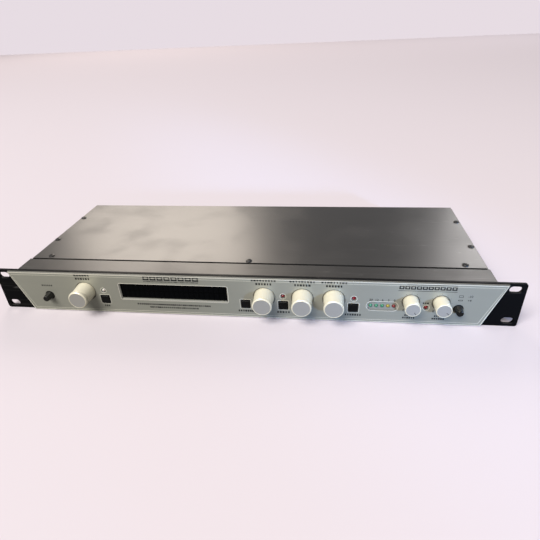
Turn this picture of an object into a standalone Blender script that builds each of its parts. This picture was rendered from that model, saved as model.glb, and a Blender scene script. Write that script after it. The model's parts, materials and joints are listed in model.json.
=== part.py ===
"""A one-unit rack effects processor, modelled as the separate pieces it is assembled from.

Every size below is in metres. Places along Y are measured from the back face of the 19-inch panel,
the plane that seats on the rack rails: the front of the unit is at -Y and its depth runs along +Y.
The empty "rack_plane" carries that plane, so that the finished object stands centred on the origin.
"""

import math

import bmesh
import bpy
from mathutils import Vector

MM = 0.001

# Clearances.
GAP = 0.3 * MM              # between two fixed pieces that seat on one another
SCREW_SEAT = 0.1 * MM       # under a screw's head
RUNNING = 0.4 * MM          # round a piece that turns or slides in an opening

# The 19-inch panel and its slots for the rack screws.
PANEL_WIDTH = 482.6 * MM
PANEL_HEIGHT = 43.66 * MM
PANEL_THICK = 3.0 * MM
PANEL_CORNER = 2.2 * MM
PANEL_REBATE = 0.2 * MM     # how much thinner it is between its two ears, where the case seats
SLOT_SPACING_X = 465.1 * MM
SLOT_SPACING_Z = 31.75 * MM
SLOT_LENGTH = 10.3 * MM
SLOT_WIDTH = 6.4 * MM

# The slant-ended fascia plate in front of it.
FASCIA_THICK = 2.0 * MM
FASCIA_TOP_WIDTH = 452.4 * MM
FASCIA_FOOT_WIDTH = 422.0 * MM
FASCIA_MARGIN = 0.5 * MM    # from the panel's top and bottom edges
FASCIA_CHAMFER = 0.9 * MM

# The sheet-metal case.
SHEET = 1.2 * MM
CASE_WIDTH = 436.0 * MM
CASE_DEPTH = 160.9 * MM
CASE_FOOT = 0.9 * MM        # how far the case sits above the panel's lower edge
COVER_DROP = 0.46 * MM      # how far the cover lies below the panel's upper edge
STRIP_DEPTH = 20.6 * MM     # the fixed strip of the roof, in front of the cover
SEAM = 1.2 * MM
COVER_INSET = 1.4 * MM
LEDGE_DEPTH = 15.0 * MM     # what the cover's front edge lies on
FLANGE = 10.0 * MM          # the side walls' inward flanges
WINDOW_POST = 18.0 * MM     # what is left of the front wall beside its long opening
WINDOW_SILL = 4.5 * MM

# Cover screws.
SCREW_HEAD_RADIUS = 2.9 * MM
SCREW_HEAD_HEIGHT = 1.15 * MM
SCREW_SHANK_RADIUS = 1.45 * MM
SCREW_LENGTH = 6.5 * MM
SCREW_HOLE_RADIUS = 1.85 * MM
FRONT_SCREW_INSET = 19.0 * MM           # from the sides of the case
FRONT_SCREW_MARGIN = 5.5 * MM           # from the cover's front edge
MIDDLE_SCREW_X = 3.0 * MM
MIDDLE_SCREW_MARGIN = 4.1 * MM
SIDE_SCREW_INSET = 4.8 * MM
SIDE_SCREWS_FROM_BACK = {"near": 97.5 * MM, "far": 40.5 * MM}

# Boards.
BOARD = 1.6 * MM
FRONT_PARTS_DEPTH = 7.0 * MM            # of the parts between the panel and the front board
FRONT_BOARD_HALF = 178.0 * MM
FRONT_BOARD_LOW = 5.0 * MM
FRONT_BOARD_HEADROOM = 1.5 * MM
MAIN_BOARD_MARGIN = 18.0 * MM           # from the sides of the case
MAIN_BOARD_FOOT = 11.0 * MM
MAIN_BOARD_NEAR = 10.5 * MM
MAIN_BOARD_REAR = 6.0 * MM              # from the back of the case
STANDOFF_RADIUS = 3.0 * MM
STANDOFF_INSET = 12.0 * MM

# Turning controls, as x of each. The encoders turn without end, the level controls are pots.
KNOB_CENTRE_Z = 23.8 * MM
ENCODERS = {"preset": -151.0 * MM, "adjust": 20.7 * MM, "select": 55.2 * MM, "function": 83.0 * MM}
POTS = {"input_level": 149.1 * MM, "output_level": 174.3 * MM}
SHAFT_RADIUS = 3.0 * MM
SHAFT_FLAT = 1.5 * MM                   # depth of the D flat
BUSHING_RADIUS = 4.5 * MM
BUSHING_LENGTH = 7.5 * MM               # in front of the rack plane
BUSHING_BORE = SHAFT_RADIUS + GAP
ENCODER_WIDTH = 12.5 * MM
ENCODER_HEIGHT = 13.0 * MM
POT_WIDTH = 10.5 * MM
POT_HEIGHT = 12.0 * MM
SHAFT_IN_BODY = 4.6 * MM                # how far a shaft reaches behind the rack plane
KNOB_FLOAT = 0.8 * MM                   # between a knob's skirt and the panel
KNOB_BORE = SHAFT_RADIUS + 0.15 * MM
HUB_WALL = 1.6 * MM
SKIRT_WALL = 1.4 * MM
FACE_WALL = 2.2 * MM

ENCODER_KNOB_REACH = 16.4 * MM          # in front of the fascia
ENCODER_KNOB_BASE = 9.3 * MM            # radius
ENCODER_KNOB_NECK = 8.45 * MM
ENCODER_KNOB_RIM = 8.8 * MM
ENCODER_RIM_DEPTH = 3.4 * MM
ENCODER_RIM_CHAMFER = 1.3 * MM

POT_KNOB_REACH = 12.7 * MM
POT_KNOB_BASE = 6.65 * MM
POT_KNOB_NECK = 6.55 * MM
POT_KNOB_RIM = 6.6 * MM
POT_RIM_DEPTH = 1.6 * MM
POT_RIM_CHAMFER = 0.6 * MM

# Square keys, as x of each.
KEYS = {"tap": -132.9 * MM, "compare": 3.2 * MM, "store": 37.9 * MM, "bypass": 100.4 * MM}
KEY_CENTRE_Z = 15.5 * MM
KEY_SIZE = 8.0 * MM
KEY_CORNER = 0.5 * MM
KEY_PROUD = 1.0 * MM                    # in front of the fascia
KEY_EDGE = 0.5 * MM
KEY_BACK = 1.0 * MM                     # the cap's back face, in front of the rack plane
KEY_TRAVEL = 0.5 * MM
KEY_STEM = 3.0 * MM
KEY_SWITCH_SIZE = 6.2 * MM
KEY_SWITCH_DEPTH = 3.5 * MM

# Round push buttons on latching switches, as x of each.
PUSH_BUTTONS = {"power": -189.4 * MM, "range": 189.4 * MM}
PUSH_CENTRE_Z = 18.0 * MM
PUSH_BASE_RADIUS = 4.0 * MM
PUSH_TIP_RADIUS = 2.85 * MM
PUSH_REACH = 7.6 * MM                   # in front of the fascia
PUSH_TRAVEL = 3.0 * MM
PLUNGER_SIZE = 3.4 * MM
PUSH_SWITCH_SIZE = 10.0 * MM
PUSH_SWITCH_DEPTH = 20.0 * MM
PLUNGER_GRIP = 6.0 * MM                 # how far the plunger reaches into its switch

# Indicator lamps.
LED_RADIUS = 1.5 * MM
LED_FLANGE_RADIUS = 1.95 * MM
LED_FLANGE = 1.0 * MM
LED_PROUD = 0.4 * MM                    # in front of the fascia
LED_LEAD = 0.6 * MM
LED_LEAD_SPACING = 1.8 * MM
LED_HOLE = 0.3 * MM                     # clearance round a lamp
LAMPS = {
    "tap_led": (-133.0 * MM, 25.2 * MM),
    "store_led": (37.8 * MM, 25.2 * MM),
    "bypass_led": (100.6 * MM, 25.2 * MM),
    "clip_led": (162.6 * MM, 18.2 * MM),
}
METER_CENTRE_X = 125.35 * MM
METER_Z = 18.2 * MM
METER_PITCH = 5.02 * MM
METER_LAMPS = 5
METER_POCKET_LENGTH = 25.0 * MM
METER_POCKET_HEIGHT = 7.2 * MM
METER_POCKET_DEPTH = 1.0 * MM
METER_CHAMFER = 1.2 * MM
METER_HOLDER_HEIGHT = 7.0 * MM

# The display.
DISPLAY_CENTRE_X = -64.7 * MM
DISPLAY_CENTRE_Z = 24.8 * MM
DISPLAY_WIDTH = 102.2 * MM
DISPLAY_HEIGHT = 15.6 * MM
DISPLAY_CHAMFER = 1.5 * MM
LENS_LIP = 1.8 * MM                     # what of the lens lies behind the fascia
LENS_THICK = 2.2 * MM
DISPLAY_MODULE_WIDTH = 113.0 * MM
DISPLAY_MODULE_HEIGHT = 26.0 * MM
DISPLAY_GLASS_MARGIN = 3.0 * MM
DISPLAY_GLASS_DEPTH = 2.0 * MM

# Chamfers on the fascia's openings.
WELL_CHAMFER = 0.8 * MM
KEY_CHAMFER = 1.0 * MM
LAMP_CHAMFER = 0.95 * MM

# Rear sockets, as x of each.
JACKS = {
    "output_jack_right": 52.0 * MM,
    "output_jack_left": 80.0 * MM,
    "input_jack_right": 124.0 * MM,
    "input_jack_left": 152.0 * MM,
}
JACK_BODY_WIDTH = 15.6 * MM
JACK_BODY_HEIGHT = 16.0 * MM
JACK_BODY_DEPTH = 23.0 * MM
JACK_NOSE_RADIUS = 4.75 * MM
JACK_NOSE_REACH = 5.0 * MM              # behind the rear panel
JACK_BORE_RADIUS = 3.3 * MM
JACK_BORE_DEPTH = 24.0 * MM
MIDI_CENTRE_X = -92.0 * MM
MIDI_PITCH = 22.0 * MM
MIDI_BLOCK_WIDTH = 42.0 * MM
MIDI_BLOCK_HEIGHT = 20.0 * MM
MIDI_BLOCK_DEPTH = 14.0 * MM
MIDI_NOSE_RADIUS = 7.6 * MM
MIDI_GROOVE_OUTER = 6.7 * MM
MIDI_GROOVE_INNER = 5.3 * MM
MIDI_GROOVE_DEPTH = 5.0 * MM
POWER_JACK_X = -172.0 * MM
POWER_JACK_WIDTH = 14.0 * MM
POWER_JACK_HEIGHT = 11.0 * MM
POWER_JACK_DEPTH = 12.0 * MM
POWER_NOSE_RADIUS = 4.2 * MM
POWER_BORE_RADIUS = 3.1 * MM
POWER_PIN_RADIUS = 1.05 * MM
POWER_BORE_DEPTH = 9.0 * MM

# Parts on the main board that are pieces of their own.
SINK_CENTRE = (-150.0 * MM, 100.0 * MM)
SINK_WIDTH = 30.0 * MM
SINK_LENGTH = 25.0 * MM
SINK_HEIGHT = 22.0 * MM
SINK_FINS = 6
SINK_BASE = 2.4 * MM
SINK_FIN = 1.6 * MM
RIBBON_CENTRE_X = -30.0 * MM
RIBBON_WIDTH = 32.0 * MM
RIBBON_THICK = 1.0 * MM
RIBBON_HIGH = 30.0 * MM                 # where it leaves the front board
RIBBON_REACH = 16.0 * MM                # where it meets the main board, behind the front board

# What is soldered flat on the main board, as (x, y, width, depth, height).
BOARD_CHIPS = (
    (-10.0 * MM, 80.0 * MM, 28.0 * MM, 28.0 * MM, 3.4 * MM),
    (40.0 * MM, 84.0 * MM, 36.0 * MM, 15.0 * MM, 4.2 * MM),
    (40.0 * MM, 58.0 * MM, 24.0 * MM, 9.0 * MM, 3.0 * MM),
    (-60.0 * MM, 92.0 * MM, 14.0 * MM, 20.0 * MM, 2.6 * MM),
    (95.0 * MM, 70.0 * MM, 18.0 * MM, 10.0 * MM, 3.0 * MM),
    (130.0 * MM, 70.0 * MM, 18.0 * MM, 10.0 * MM, 3.0 * MM),
    (-110.0 * MM, 60.0 * MM, 20.0 * MM, 8.0 * MM, 8.0 * MM),
)
# Upright capacitors on the main board, as (x, y, radius, height).
BOARD_CANS = (
    (-178.0 * MM, 72.0 * MM, 8.0 * MM, 22.0 * MM),
    (-178.0 * MM, 94.0 * MM, 8.0 * MM, 22.0 * MM),
    (-110.0 * MM, 96.0 * MM, 5.0 * MM, 12.0 * MM),
    (168.0 * MM, 96.0 * MM, 4.0 * MM, 9.0 * MM),
    (168.0 * MM, 78.0 * MM, 4.0 * MM, 9.0 * MM),
)

# Sides of round pieces.
FINE = 28
ROUND = 20
SMALL = 12
TINY = 8

# What follows from the sizes above.
PANEL_FRONT = -PANEL_THICK
FASCIA_BACK = PANEL_FRONT - GAP
FASCIA_FRONT = FASCIA_BACK - FASCIA_THICK
BEHIND_PANEL = GAP - PANEL_REBATE
CASE_FRONT = BEHIND_PANEL
CASE_BACK = CASE_FRONT + CASE_DEPTH
CASE_HALF = CASE_WIDTH / 2
FLOOR_TOP = CASE_FOOT + SHEET
COVER_TOP = PANEL_HEIGHT - COVER_DROP
COVER_BOTTOM = COVER_TOP - SHEET
LEDGE_TOP = COVER_BOTTOM - GAP
LEDGE_BOTTOM = LEDGE_TOP - SHEET
COVER_FRONT = CASE_FRONT + STRIP_DEPTH + SEAM
LEDGE_END = COVER_FRONT + LEDGE_DEPTH
FRONT_BOARD_HIGH = LEDGE_BOTTOM - FRONT_BOARD_HEADROOM
MAIN_BOARD_HALF = CASE_HALF - MAIN_BOARD_MARGIN
MAIN_BOARD_FAR = CASE_BACK - MAIN_BOARD_REAR
FRONT_PARTS_BACK = BEHIND_PANEL + FRONT_PARTS_DEPTH
FRONT_BOARD_FRONT = FRONT_PARTS_BACK + GAP
FRONT_BOARD_BACK = FRONT_BOARD_FRONT + BOARD
MAIN_BOARD_TOP = MAIN_BOARD_FOOT + BOARD
ON_BOARD = MAIN_BOARD_TOP + GAP
KNOB_BACK = PANEL_FRONT - KNOB_FLOAT
ENCODER_KNOB_FRONT = FASCIA_FRONT - ENCODER_KNOB_REACH
POT_KNOB_FRONT = FASCIA_FRONT - POT_KNOB_REACH
ENCODER_WELL = ENCODER_KNOB_BASE + RUNNING
POT_WELL = POT_KNOB_BASE + RUNNING
KEY_OPENING = KEY_SIZE + 2 * RUNNING
PUSH_OPENING = PUSH_BASE_RADIUS + RUNNING
LAMP_OPENING = LED_RADIUS + LED_HOLE
LAMP_BACK = BEHIND_PANEL + LED_FLANGE
KEY_SWITCH_FRONT = FRONT_BOARD_FRONT - KEY_SWITCH_DEPTH
PUSH_SWITCH_FRONT = MAIN_BOARD_NEAR + GAP
JACK_BODY_BACK = CASE_BACK - SHEET - GAP
JACK_CENTRE_Z = ON_BOARD + JACK_BODY_HEIGHT / 2
FRONT_REACH = -ENCODER_KNOB_FRONT
REAR_REACH = CASE_BACK + JACK_NOSE_REACH
RACK_PLANE_Y = (FRONT_REACH - REAR_REACH) / 2
THROUGH = 5.0 * MM          # how far a cutter runs past what it cuts

# Finishes, as (red, green, blue), roughness and metallic of each.
FINISHES = {
    "black_paint": ((0.022, 0.022, 0.024), 0.42, 0.0),
    "case_paint": ((0.045, 0.042, 0.040), 0.38, 0.0),
    "fascia_metal": ((0.62, 0.63, 0.62), 0.38, 0.85),
    "knob_silver": ((0.74, 0.73, 0.68), 0.42, 0.35),
    "black_plastic": ((0.018, 0.018, 0.019), 0.30, 0.0),
    "lens_black": ((0.008, 0.009, 0.011), 0.12, 0.0),
    "steel": ((0.55, 0.55, 0.56), 0.30, 1.0),
    "board_green": ((0.02, 0.12, 0.05), 0.5, 0.0),
    "bright_metal": ((0.72, 0.72, 0.72), 0.35, 1.0),
    "lamp_red": ((0.45, 0.02, 0.02), 0.15, 0.0),
    "lamp_green": ((0.12, 0.42, 0.24), 0.15, 0.0),
    "lamp_yellow": ((0.55, 0.46, 0.08), 0.15, 0.0),
    "lamp_clear": ((0.80, 0.80, 0.76), 0.12, 0.0),
    "grey_cable": ((0.34, 0.35, 0.36), 0.6, 0.0),
}
METER_FINISHES = ("lamp_green", "lamp_green", "lamp_green", "lamp_yellow", "lamp_red")


def clear_scene():
    """Removes whatever the scene holds."""
    for obj in list(bpy.data.objects):
        bpy.data.objects.remove(obj)


def finish(name):
    """The named finish as a Principled BSDF material, made once."""
    material = bpy.data.materials.get(name)
    if material is None:
        colour, roughness, metallic = FINISHES[name]
        material = bpy.data.materials.new(name)
        material.use_nodes = True
        shader = material.node_tree.nodes["Principled BSDF"]
        shader.inputs["Base Color"].default_value = (*colour, 1.0)
        shader.inputs["Roughness"].default_value = roughness
        shader.inputs["Metallic"].default_value = metallic
    return material


def mesh_of(bm, name):
    """The bmesh as a closed mesh with its faces pointing out."""
    bmesh.ops.recalc_face_normals(bm, faces=bm.faces)
    mesh = bpy.data.meshes.new(name)
    bm.to_mesh(mesh)
    bm.free()
    return mesh


def place(name, mesh, at, look, smooth=False):
    """An object of the unit, with its finish, carried by the rack plane."""
    obj = bpy.data.objects.new(name, mesh)
    bpy.context.scene.collection.objects.link(obj)
    obj.parent = bpy.data.objects["rack_plane"]
    obj.location = at
    if look and not mesh.materials:
        mesh.materials.append(finish(look))
    if smooth:
        mesh.shade_smooth()
        mesh.set_sharp_from_angle(angle=math.radians(35))
    return obj


def outline(width, height, radius, sides):
    """Points of a rectangle with round corners, or of a circle where the radius is half of both sides.

    The points lie a little outside the round stretches, so that the outline is as wide as stated.
    """
    reach = 1 / math.cos(math.pi / sides)
    points = []
    for i in range(sides):
        angle = math.tau * (i + 0.5) / sides
        across, up = reach * math.cos(angle), reach * math.sin(angle)
        points.append((
            math.copysign(width / 2 - radius, across) + radius * across,
            math.copysign(height / 2 - radius, up) + radius * up,
        ))
    return points


def circle(radius):
    """A round section for loft()."""
    return (2 * radius, 2 * radius, radius)


def loft(name, sections, sides=ROUND, ring=False):
    """A closed mesh through sections along Y, each ((width, height, corner radius), y).

    It is capped at both ends, or joined from its last section to its first where it is a ring.
    A section may lie at the same y as the one before it, or turn back inside it to make a bore.
    """
    bm = bmesh.new()
    loops = [
        [bm.verts.new((x, y, z)) for x, z in outline(*shape, sides)] for shape, y in sections
    ]
    pairs = list(zip(loops, loops[1:]))
    if ring:
        pairs.append((loops[-1], loops[0]))
    else:
        bm.faces.new(loops[0])
        bm.faces.new(loops[-1])
    for near, far in pairs:
        for i in range(sides):
            after = (i + 1) % sides
            bm.faces.new((near[i], near[after], far[after], far[i]))
    return mesh_of(bm, name)


def extruded(name, points, low, high, axis):
    """A closed mesh from an outline of 3-D points in one plane, swept along an axis from low to high."""
    bm = bmesh.new()
    face = bm.faces.new([bm.verts.new(point) for point in points])
    bmesh.ops.translate(bm, verts=bm.verts, vec=axis * low)
    swept = bmesh.ops.extrude_face_region(bm, geom=[face], use_keep_orig=True)
    moved = [item for item in swept["geom"] if isinstance(item, bmesh.types.BMVert)]
    bmesh.ops.translate(bm, verts=moved, vec=axis * (high - low))
    return mesh_of(bm, name)


def box_mesh(name, low, high):
    """A block between two corners."""
    bm = bmesh.new()
    bmesh.ops.create_cube(bm, size=1.0)
    low, high = Vector(low), Vector(high)
    for vert in bm.verts:
        vert.co = [low[k] + (vert.co[k] + 0.5) * (high[k] - low[k]) for k in range(3)]
    return mesh_of(bm, name)


def tool(mesh, at=(0, 0, 0)):
    """A cutter or an added shape, which isn't a piece of the unit."""
    obj = place(mesh.name, mesh, at, None)
    obj.hide_render = True
    obj.display_type = "WIRE"
    return obj


def combine(obj, tools, operation):
    """Cuts the tools from the object, or joins them to it."""
    group = bpy.data.collections.new(f"{obj.name}_{operation.lower()}")
    for helper in tools:
        group.objects.link(helper)
    boolean = obj.modifiers.new(operation.lower(), "BOOLEAN")
    boolean.operation = operation
    boolean.solver = "EXACT"
    boolean.operand_type = "COLLECTION"
    boolean.collection = group
    return obj


def block_tool(name, low, high):
    """A block-shaped tool."""
    return tool(box_mesh(name, low, high))


def hole_tool(name, shape, back, front, sides, chamfer=0.0):
    """A cutter that runs through a plate along Y, flared by a chamfer at the plate's front face."""
    width, height, radius = shape
    flare = (width + 2 * chamfer, height + 2 * chamfer, radius + chamfer)
    sections = [(shape, back + THROUGH)]
    if chamfer:
        sections += [(shape, front + chamfer), (flare, front)]
    sections.append((flare, front - THROUGH))
    return loft(name, sections, sides)


def controls():
    """Each turning control's name, place across the panel and whether it is a pot."""
    return [(name, x, False) for name, x in ENCODERS.items()] + [
        (name, x, True) for name, x in POTS.items()
    ]


def meter_places():
    """The places across the panel of the meter's lamps."""
    first = METER_CENTRE_X - METER_PITCH * (METER_LAMPS - 1) / 2
    return [first + METER_PITCH * i for i in range(METER_LAMPS)]


def cover_screw_places():
    """Each cover screw's name and place, as (x, y)."""
    front = COVER_FRONT + FRONT_SCREW_MARGIN
    places = {"cover_screw_front_middle": (MIDDLE_SCREW_X, COVER_FRONT + MIDDLE_SCREW_MARGIN)}
    for side, sign in (("left", -1), ("right", 1)):
        places[f"cover_screw_front_{side}"] = (sign * (CASE_HALF - FRONT_SCREW_INSET), front)
        for place_name, distance in SIDE_SCREWS_FROM_BACK.items():
            across = sign * (CASE_HALF - SIDE_SCREW_INSET)
            places[f"cover_screw_{side}_{place_name}"] = (across, CASE_BACK - distance)
    return places


def front_panel():
    """The 19-inch panel, with its rack slots and the openings for what passes through it."""
    shape = (PANEL_WIDTH, PANEL_HEIGHT, PANEL_CORNER)
    mesh = loft("front_panel", [(shape, 0.0), (shape, PANEL_FRONT)], SMALL)
    panel = place("front_panel", mesh, (0, 0, PANEL_HEIGHT / 2), "black_paint")
    cuts = []

    def opening(name, x, z, size, sides):
        cuts.append(tool(hole_tool(name, size, 0.0, PANEL_FRONT, sides), (x, 0, z)))

    for side in (-1, 1):
        for level in (-1, 1):
            opening(
                "rack_slot", side * SLOT_SPACING_X / 2, PANEL_HEIGHT / 2 + level * SLOT_SPACING_Z / 2,
                (SLOT_LENGTH, SLOT_WIDTH, SLOT_WIDTH / 2), ROUND,
            )
    for _, x, _ in controls():
        opening("bushing_hole", x, KNOB_CENTRE_Z, circle(BUSHING_RADIUS + GAP), ROUND)
    for x in KEYS.values():
        opening("key_hole", x, KEY_CENTRE_Z, (KEY_OPENING, KEY_OPENING, KEY_CORNER), TINY)
    for x in PUSH_BUTTONS.values():
        opening("push_hole", x, PUSH_CENTRE_Z, circle(PUSH_OPENING), ROUND)
    for x, z in LAMPS.values():
        opening("lamp_hole", x, z, circle(LAMP_OPENING), SMALL)
    for x in meter_places():
        opening("meter_hole", x, METER_Z, circle(LAMP_OPENING), SMALL)
    lens = (DISPLAY_WIDTH + 2 * (LENS_LIP + GAP), DISPLAY_HEIGHT + 2 * (LENS_LIP + GAP), 1.0 * MM)
    opening("lens_hole", DISPLAY_CENTRE_X, DISPLAY_CENTRE_Z, lens, TINY)
    half, above = CASE_HALF + GAP, PANEL_HEIGHT + THROUGH
    cuts.append(block_tool("rebate", (-half, -PANEL_REBATE, -THROUGH), (half, THROUGH, above)))
    return combine(panel, cuts, "DIFFERENCE")


def fascia_plate():
    """The metal plate on the panel: slanted ends, chamfered edges and an opening for each control."""
    low, high = FASCIA_MARGIN, PANEL_HEIGHT - FASCIA_MARGIN

    def corners(inset, y):
        top, foot = FASCIA_TOP_WIDTH / 2 - inset, FASCIA_FOOT_WIDTH / 2 - inset
        return [
            (-foot, y, low + inset), (foot, y, low + inset),
            (top, y, high - inset), (-top, y, high - inset),
        ]

    bm = bmesh.new()
    rings = [
        [bm.verts.new(point) for point in corners(inset, y)]
        for inset, y in (
            (0.0, FASCIA_BACK), (0.0, FASCIA_FRONT + FASCIA_CHAMFER), (FASCIA_CHAMFER, FASCIA_FRONT),
        )
    ]
    bm.faces.new(rings[0])
    bm.faces.new(rings[-1])
    for near, far in zip(rings, rings[1:]):
        for i in range(4):
            after = (i + 1) % 4
            bm.faces.new((near[i], near[after], far[after], far[i]))
    plate = place("fascia_plate", mesh_of(bm, "fascia_plate"), (0, 0, 0), "fascia_metal")
    cuts = []

    def opening(name, x, z, size, sides, chamfer):
        mesh = hole_tool(name, size, FASCIA_BACK, FASCIA_FRONT, sides, chamfer)
        cuts.append(tool(mesh, (x, 0, z)))

    for _, x, is_pot in controls():
        well = POT_WELL if is_pot else ENCODER_WELL
        opening("knob_well", x, KNOB_CENTRE_Z, circle(well), FINE, WELL_CHAMFER)
    for x in KEYS.values():
        opening(
            "key_well", x, KEY_CENTRE_Z, (KEY_OPENING, KEY_OPENING, KEY_CORNER), TINY, KEY_CHAMFER
        )
    for x in PUSH_BUTTONS.values():
        opening("push_well", x, PUSH_CENTRE_Z, circle(PUSH_OPENING), ROUND, WELL_CHAMFER)
    for x, z in LAMPS.values():
        opening("lamp_well", x, z, circle(LAMP_OPENING), SMALL, LAMP_CHAMFER)
    for x in meter_places():
        opening("meter_lamp_well", x, METER_Z, circle(LAMP_OPENING), SMALL, 0.0)
    opening(
        "display_well", DISPLAY_CENTRE_X, DISPLAY_CENTRE_Z,
        (DISPLAY_WIDTH, DISPLAY_HEIGHT, 0.8 * MM), TINY, DISPLAY_CHAMFER,
    )
    floor = (METER_POCKET_LENGTH, METER_POCKET_HEIGHT, METER_POCKET_HEIGHT / 2)
    rim = tuple(size + 2 * METER_CHAMFER for size in floor[:2]) + (floor[2] + METER_CHAMFER,)
    pocket = loft("meter_pocket", [
        (floor, FASCIA_FRONT + METER_POCKET_DEPTH),
        (rim, FASCIA_FRONT),
        (rim, FASCIA_FRONT - THROUGH),
    ], ROUND)
    cuts.append(tool(pocket, (METER_CENTRE_X, 0, METER_Z)))
    return combine(plate, cuts, "DIFFERENCE")


def chassis_tray():
    """The folded case: floor, sides with flanges, front wall, roof strip, ledge and board pillars."""
    outer = box_mesh(
        "chassis_tray", (-CASE_HALF, CASE_FRONT, CASE_FOOT), (CASE_HALF, CASE_BACK, COVER_TOP)
    )
    tray = place("chassis_tray", outer, (0, 0, 0), "case_paint")
    inner_half = CASE_HALF - SHEET
    strip_back = CASE_FRONT + STRIP_DEPTH
    open_half = CASE_HALF - FLANGE
    front_inside, back_inside = CASE_FRONT + SHEET, CASE_BACK - SHEET
    cuts = [
        block_tool(
            "inside", (-inner_half, front_inside, FLOOR_TOP), (inner_half, back_inside, LEDGE_BOTTOM)
        ),
        block_tool(
            "under_strip", (-inner_half, front_inside, LEDGE_BOTTOM - SHEET),
            (inner_half, strip_back - SHEET, COVER_BOTTOM),
        ),
        block_tool(
            "above_ledge", (-CASE_HALF - THROUGH, strip_back, LEDGE_TOP),
            (CASE_HALF + THROUGH, CASE_BACK + THROUGH, COVER_TOP + THROUGH),
        ),
        block_tool(
            "roof_opening", (-open_half, LEDGE_END, LEDGE_BOTTOM - SHEET),
            (open_half, CASE_BACK + THROUGH, COVER_TOP + THROUGH),
        ),
        block_tool(
            "rear_opening", (-open_half, back_inside - SHEET, FLOOR_TOP),
            (open_half, CASE_BACK + THROUGH, LEDGE_TOP + THROUGH),
        ),
        block_tool(
            "front_opening", (WINDOW_POST - CASE_HALF, CASE_FRONT - THROUGH, WINDOW_SILL),
            (CASE_HALF - WINDOW_POST, front_inside + SHEET, LEDGE_BOTTOM),
        ),
    ]
    cuts += [screw_hole_tool(x, y) for x, y in cover_screw_places().values()]
    combine(tray, cuts, "DIFFERENCE")
    return combine(tray, [standoff_tool(x, y) for x, y in standoff_places()], "UNION")


def screw_hole_tool(x, y):
    """A cutter for one cover screw, through the cover and the flange below it."""
    mesh = loft("screw_hole", [
        (circle(SCREW_HOLE_RADIUS), -THROUGH), (circle(SCREW_HOLE_RADIUS), THROUGH),
    ], TINY)
    hole = tool(mesh, (x, y, COVER_BOTTOM))
    hole.rotation_euler.x = math.pi / 2
    return hole


def standoff_places():
    """The pillars that the main board stands on, as (x, y) of each."""
    near, far = MAIN_BOARD_NEAR + STANDOFF_INSET, MAIN_BOARD_FAR - STANDOFF_INSET
    side = MAIN_BOARD_HALF - STANDOFF_INSET
    return [(x, y) for x in (-side, 0.0, side) for y in (near, far)]


def standoff_tool(x, y):
    """A pillar pressed into the floor of the case."""
    mesh = loft("standoff", [
        (circle(STANDOFF_RADIUS), -(CASE_FOOT + SHEET / 2)),
        (circle(STANDOFF_RADIUS), -(MAIN_BOARD_FOOT - GAP)),
    ], TINY)
    pillar = tool(mesh, (x, y, 0))
    pillar.rotation_euler.x = -math.pi / 2
    return pillar


def rear_panel():
    """The rear wall, folded forwards at its head and foot, with a hole for each socket."""
    half = CASE_HALF - FLANGE - GAP
    foot, head = FLOOR_TOP + GAP, LEDGE_TOP
    fold = CASE_BACK - FLANGE
    wall = CASE_BACK - SHEET
    profile = [
        (0, CASE_BACK, foot), (0, fold, foot), (0, fold, foot + SHEET), (0, wall, foot + SHEET),
        (0, wall, head - SHEET), (0, fold, head - SHEET), (0, fold, head), (0, CASE_BACK, head),
    ]
    mesh = extruded("rear_panel", profile, -half, half, Vector((1, 0, 0)))
    panel = place("rear_panel", mesh, (0, 0, 0), "case_paint")

    def opening(name, x, z, radius):
        shape = circle(radius + GAP)
        return tool(hole_tool(name, shape, CASE_BACK, wall, ROUND), (x, 0, z))

    cuts = [opening("jack_hole", x, JACK_CENTRE_Z, JACK_NOSE_RADIUS) for x in JACKS.values()]
    midi_z = ON_BOARD + MIDI_BLOCK_HEIGHT / 2
    cuts += [opening("midi_hole", x, midi_z, MIDI_NOSE_RADIUS) for x in midi_places()]
    power_z = ON_BOARD + POWER_JACK_HEIGHT / 2
    cuts.append(opening("power_hole", POWER_JACK_X, power_z, POWER_NOSE_RADIUS))
    return combine(panel, cuts, "DIFFERENCE")


def top_cover():
    """The flat cover that screws down on the flanges and the ledge."""
    half = CASE_HALF - COVER_INSET
    mesh = box_mesh("top_cover", (-half, COVER_FRONT, COVER_BOTTOM), (half, CASE_BACK, COVER_TOP))
    cover = place("top_cover", mesh, (0, 0, 0), "case_paint")
    holes = [screw_hole_tool(x, y) for x, y in cover_screw_places().values()]
    return combine(cover, holes, "DIFFERENCE")


def cover_screws():
    """The low round-headed screws, all from one mesh, each with a tapered recess for the driver."""
    seat = SCREW_SEAT
    head, top = SCREW_HEAD_RADIUS, SCREW_SEAT + SCREW_HEAD_HEIGHT
    mesh = loft("cover_screw", [
        (circle(0.6 * SCREW_SHANK_RADIUS), -SCREW_LENGTH),
        (circle(SCREW_SHANK_RADIUS), -SCREW_LENGTH + SCREW_SHANK_RADIUS),
        (circle(SCREW_SHANK_RADIUS), seat),
        (circle(head), seat),
        (circle(head), seat + 0.45 * SCREW_HEAD_HEIGHT),
        (circle(0.72 * head), top),
        (circle(0.40 * head), top),
        (circle(0.16 * head), top - 0.7 * SCREW_HEAD_HEIGHT),
    ], TINY)
    for name, (x, y) in cover_screw_places().items():
        screw = place(name, mesh, (x, y, COVER_TOP), "steel")
        screw.rotation_euler.x = math.pi / 2


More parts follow.
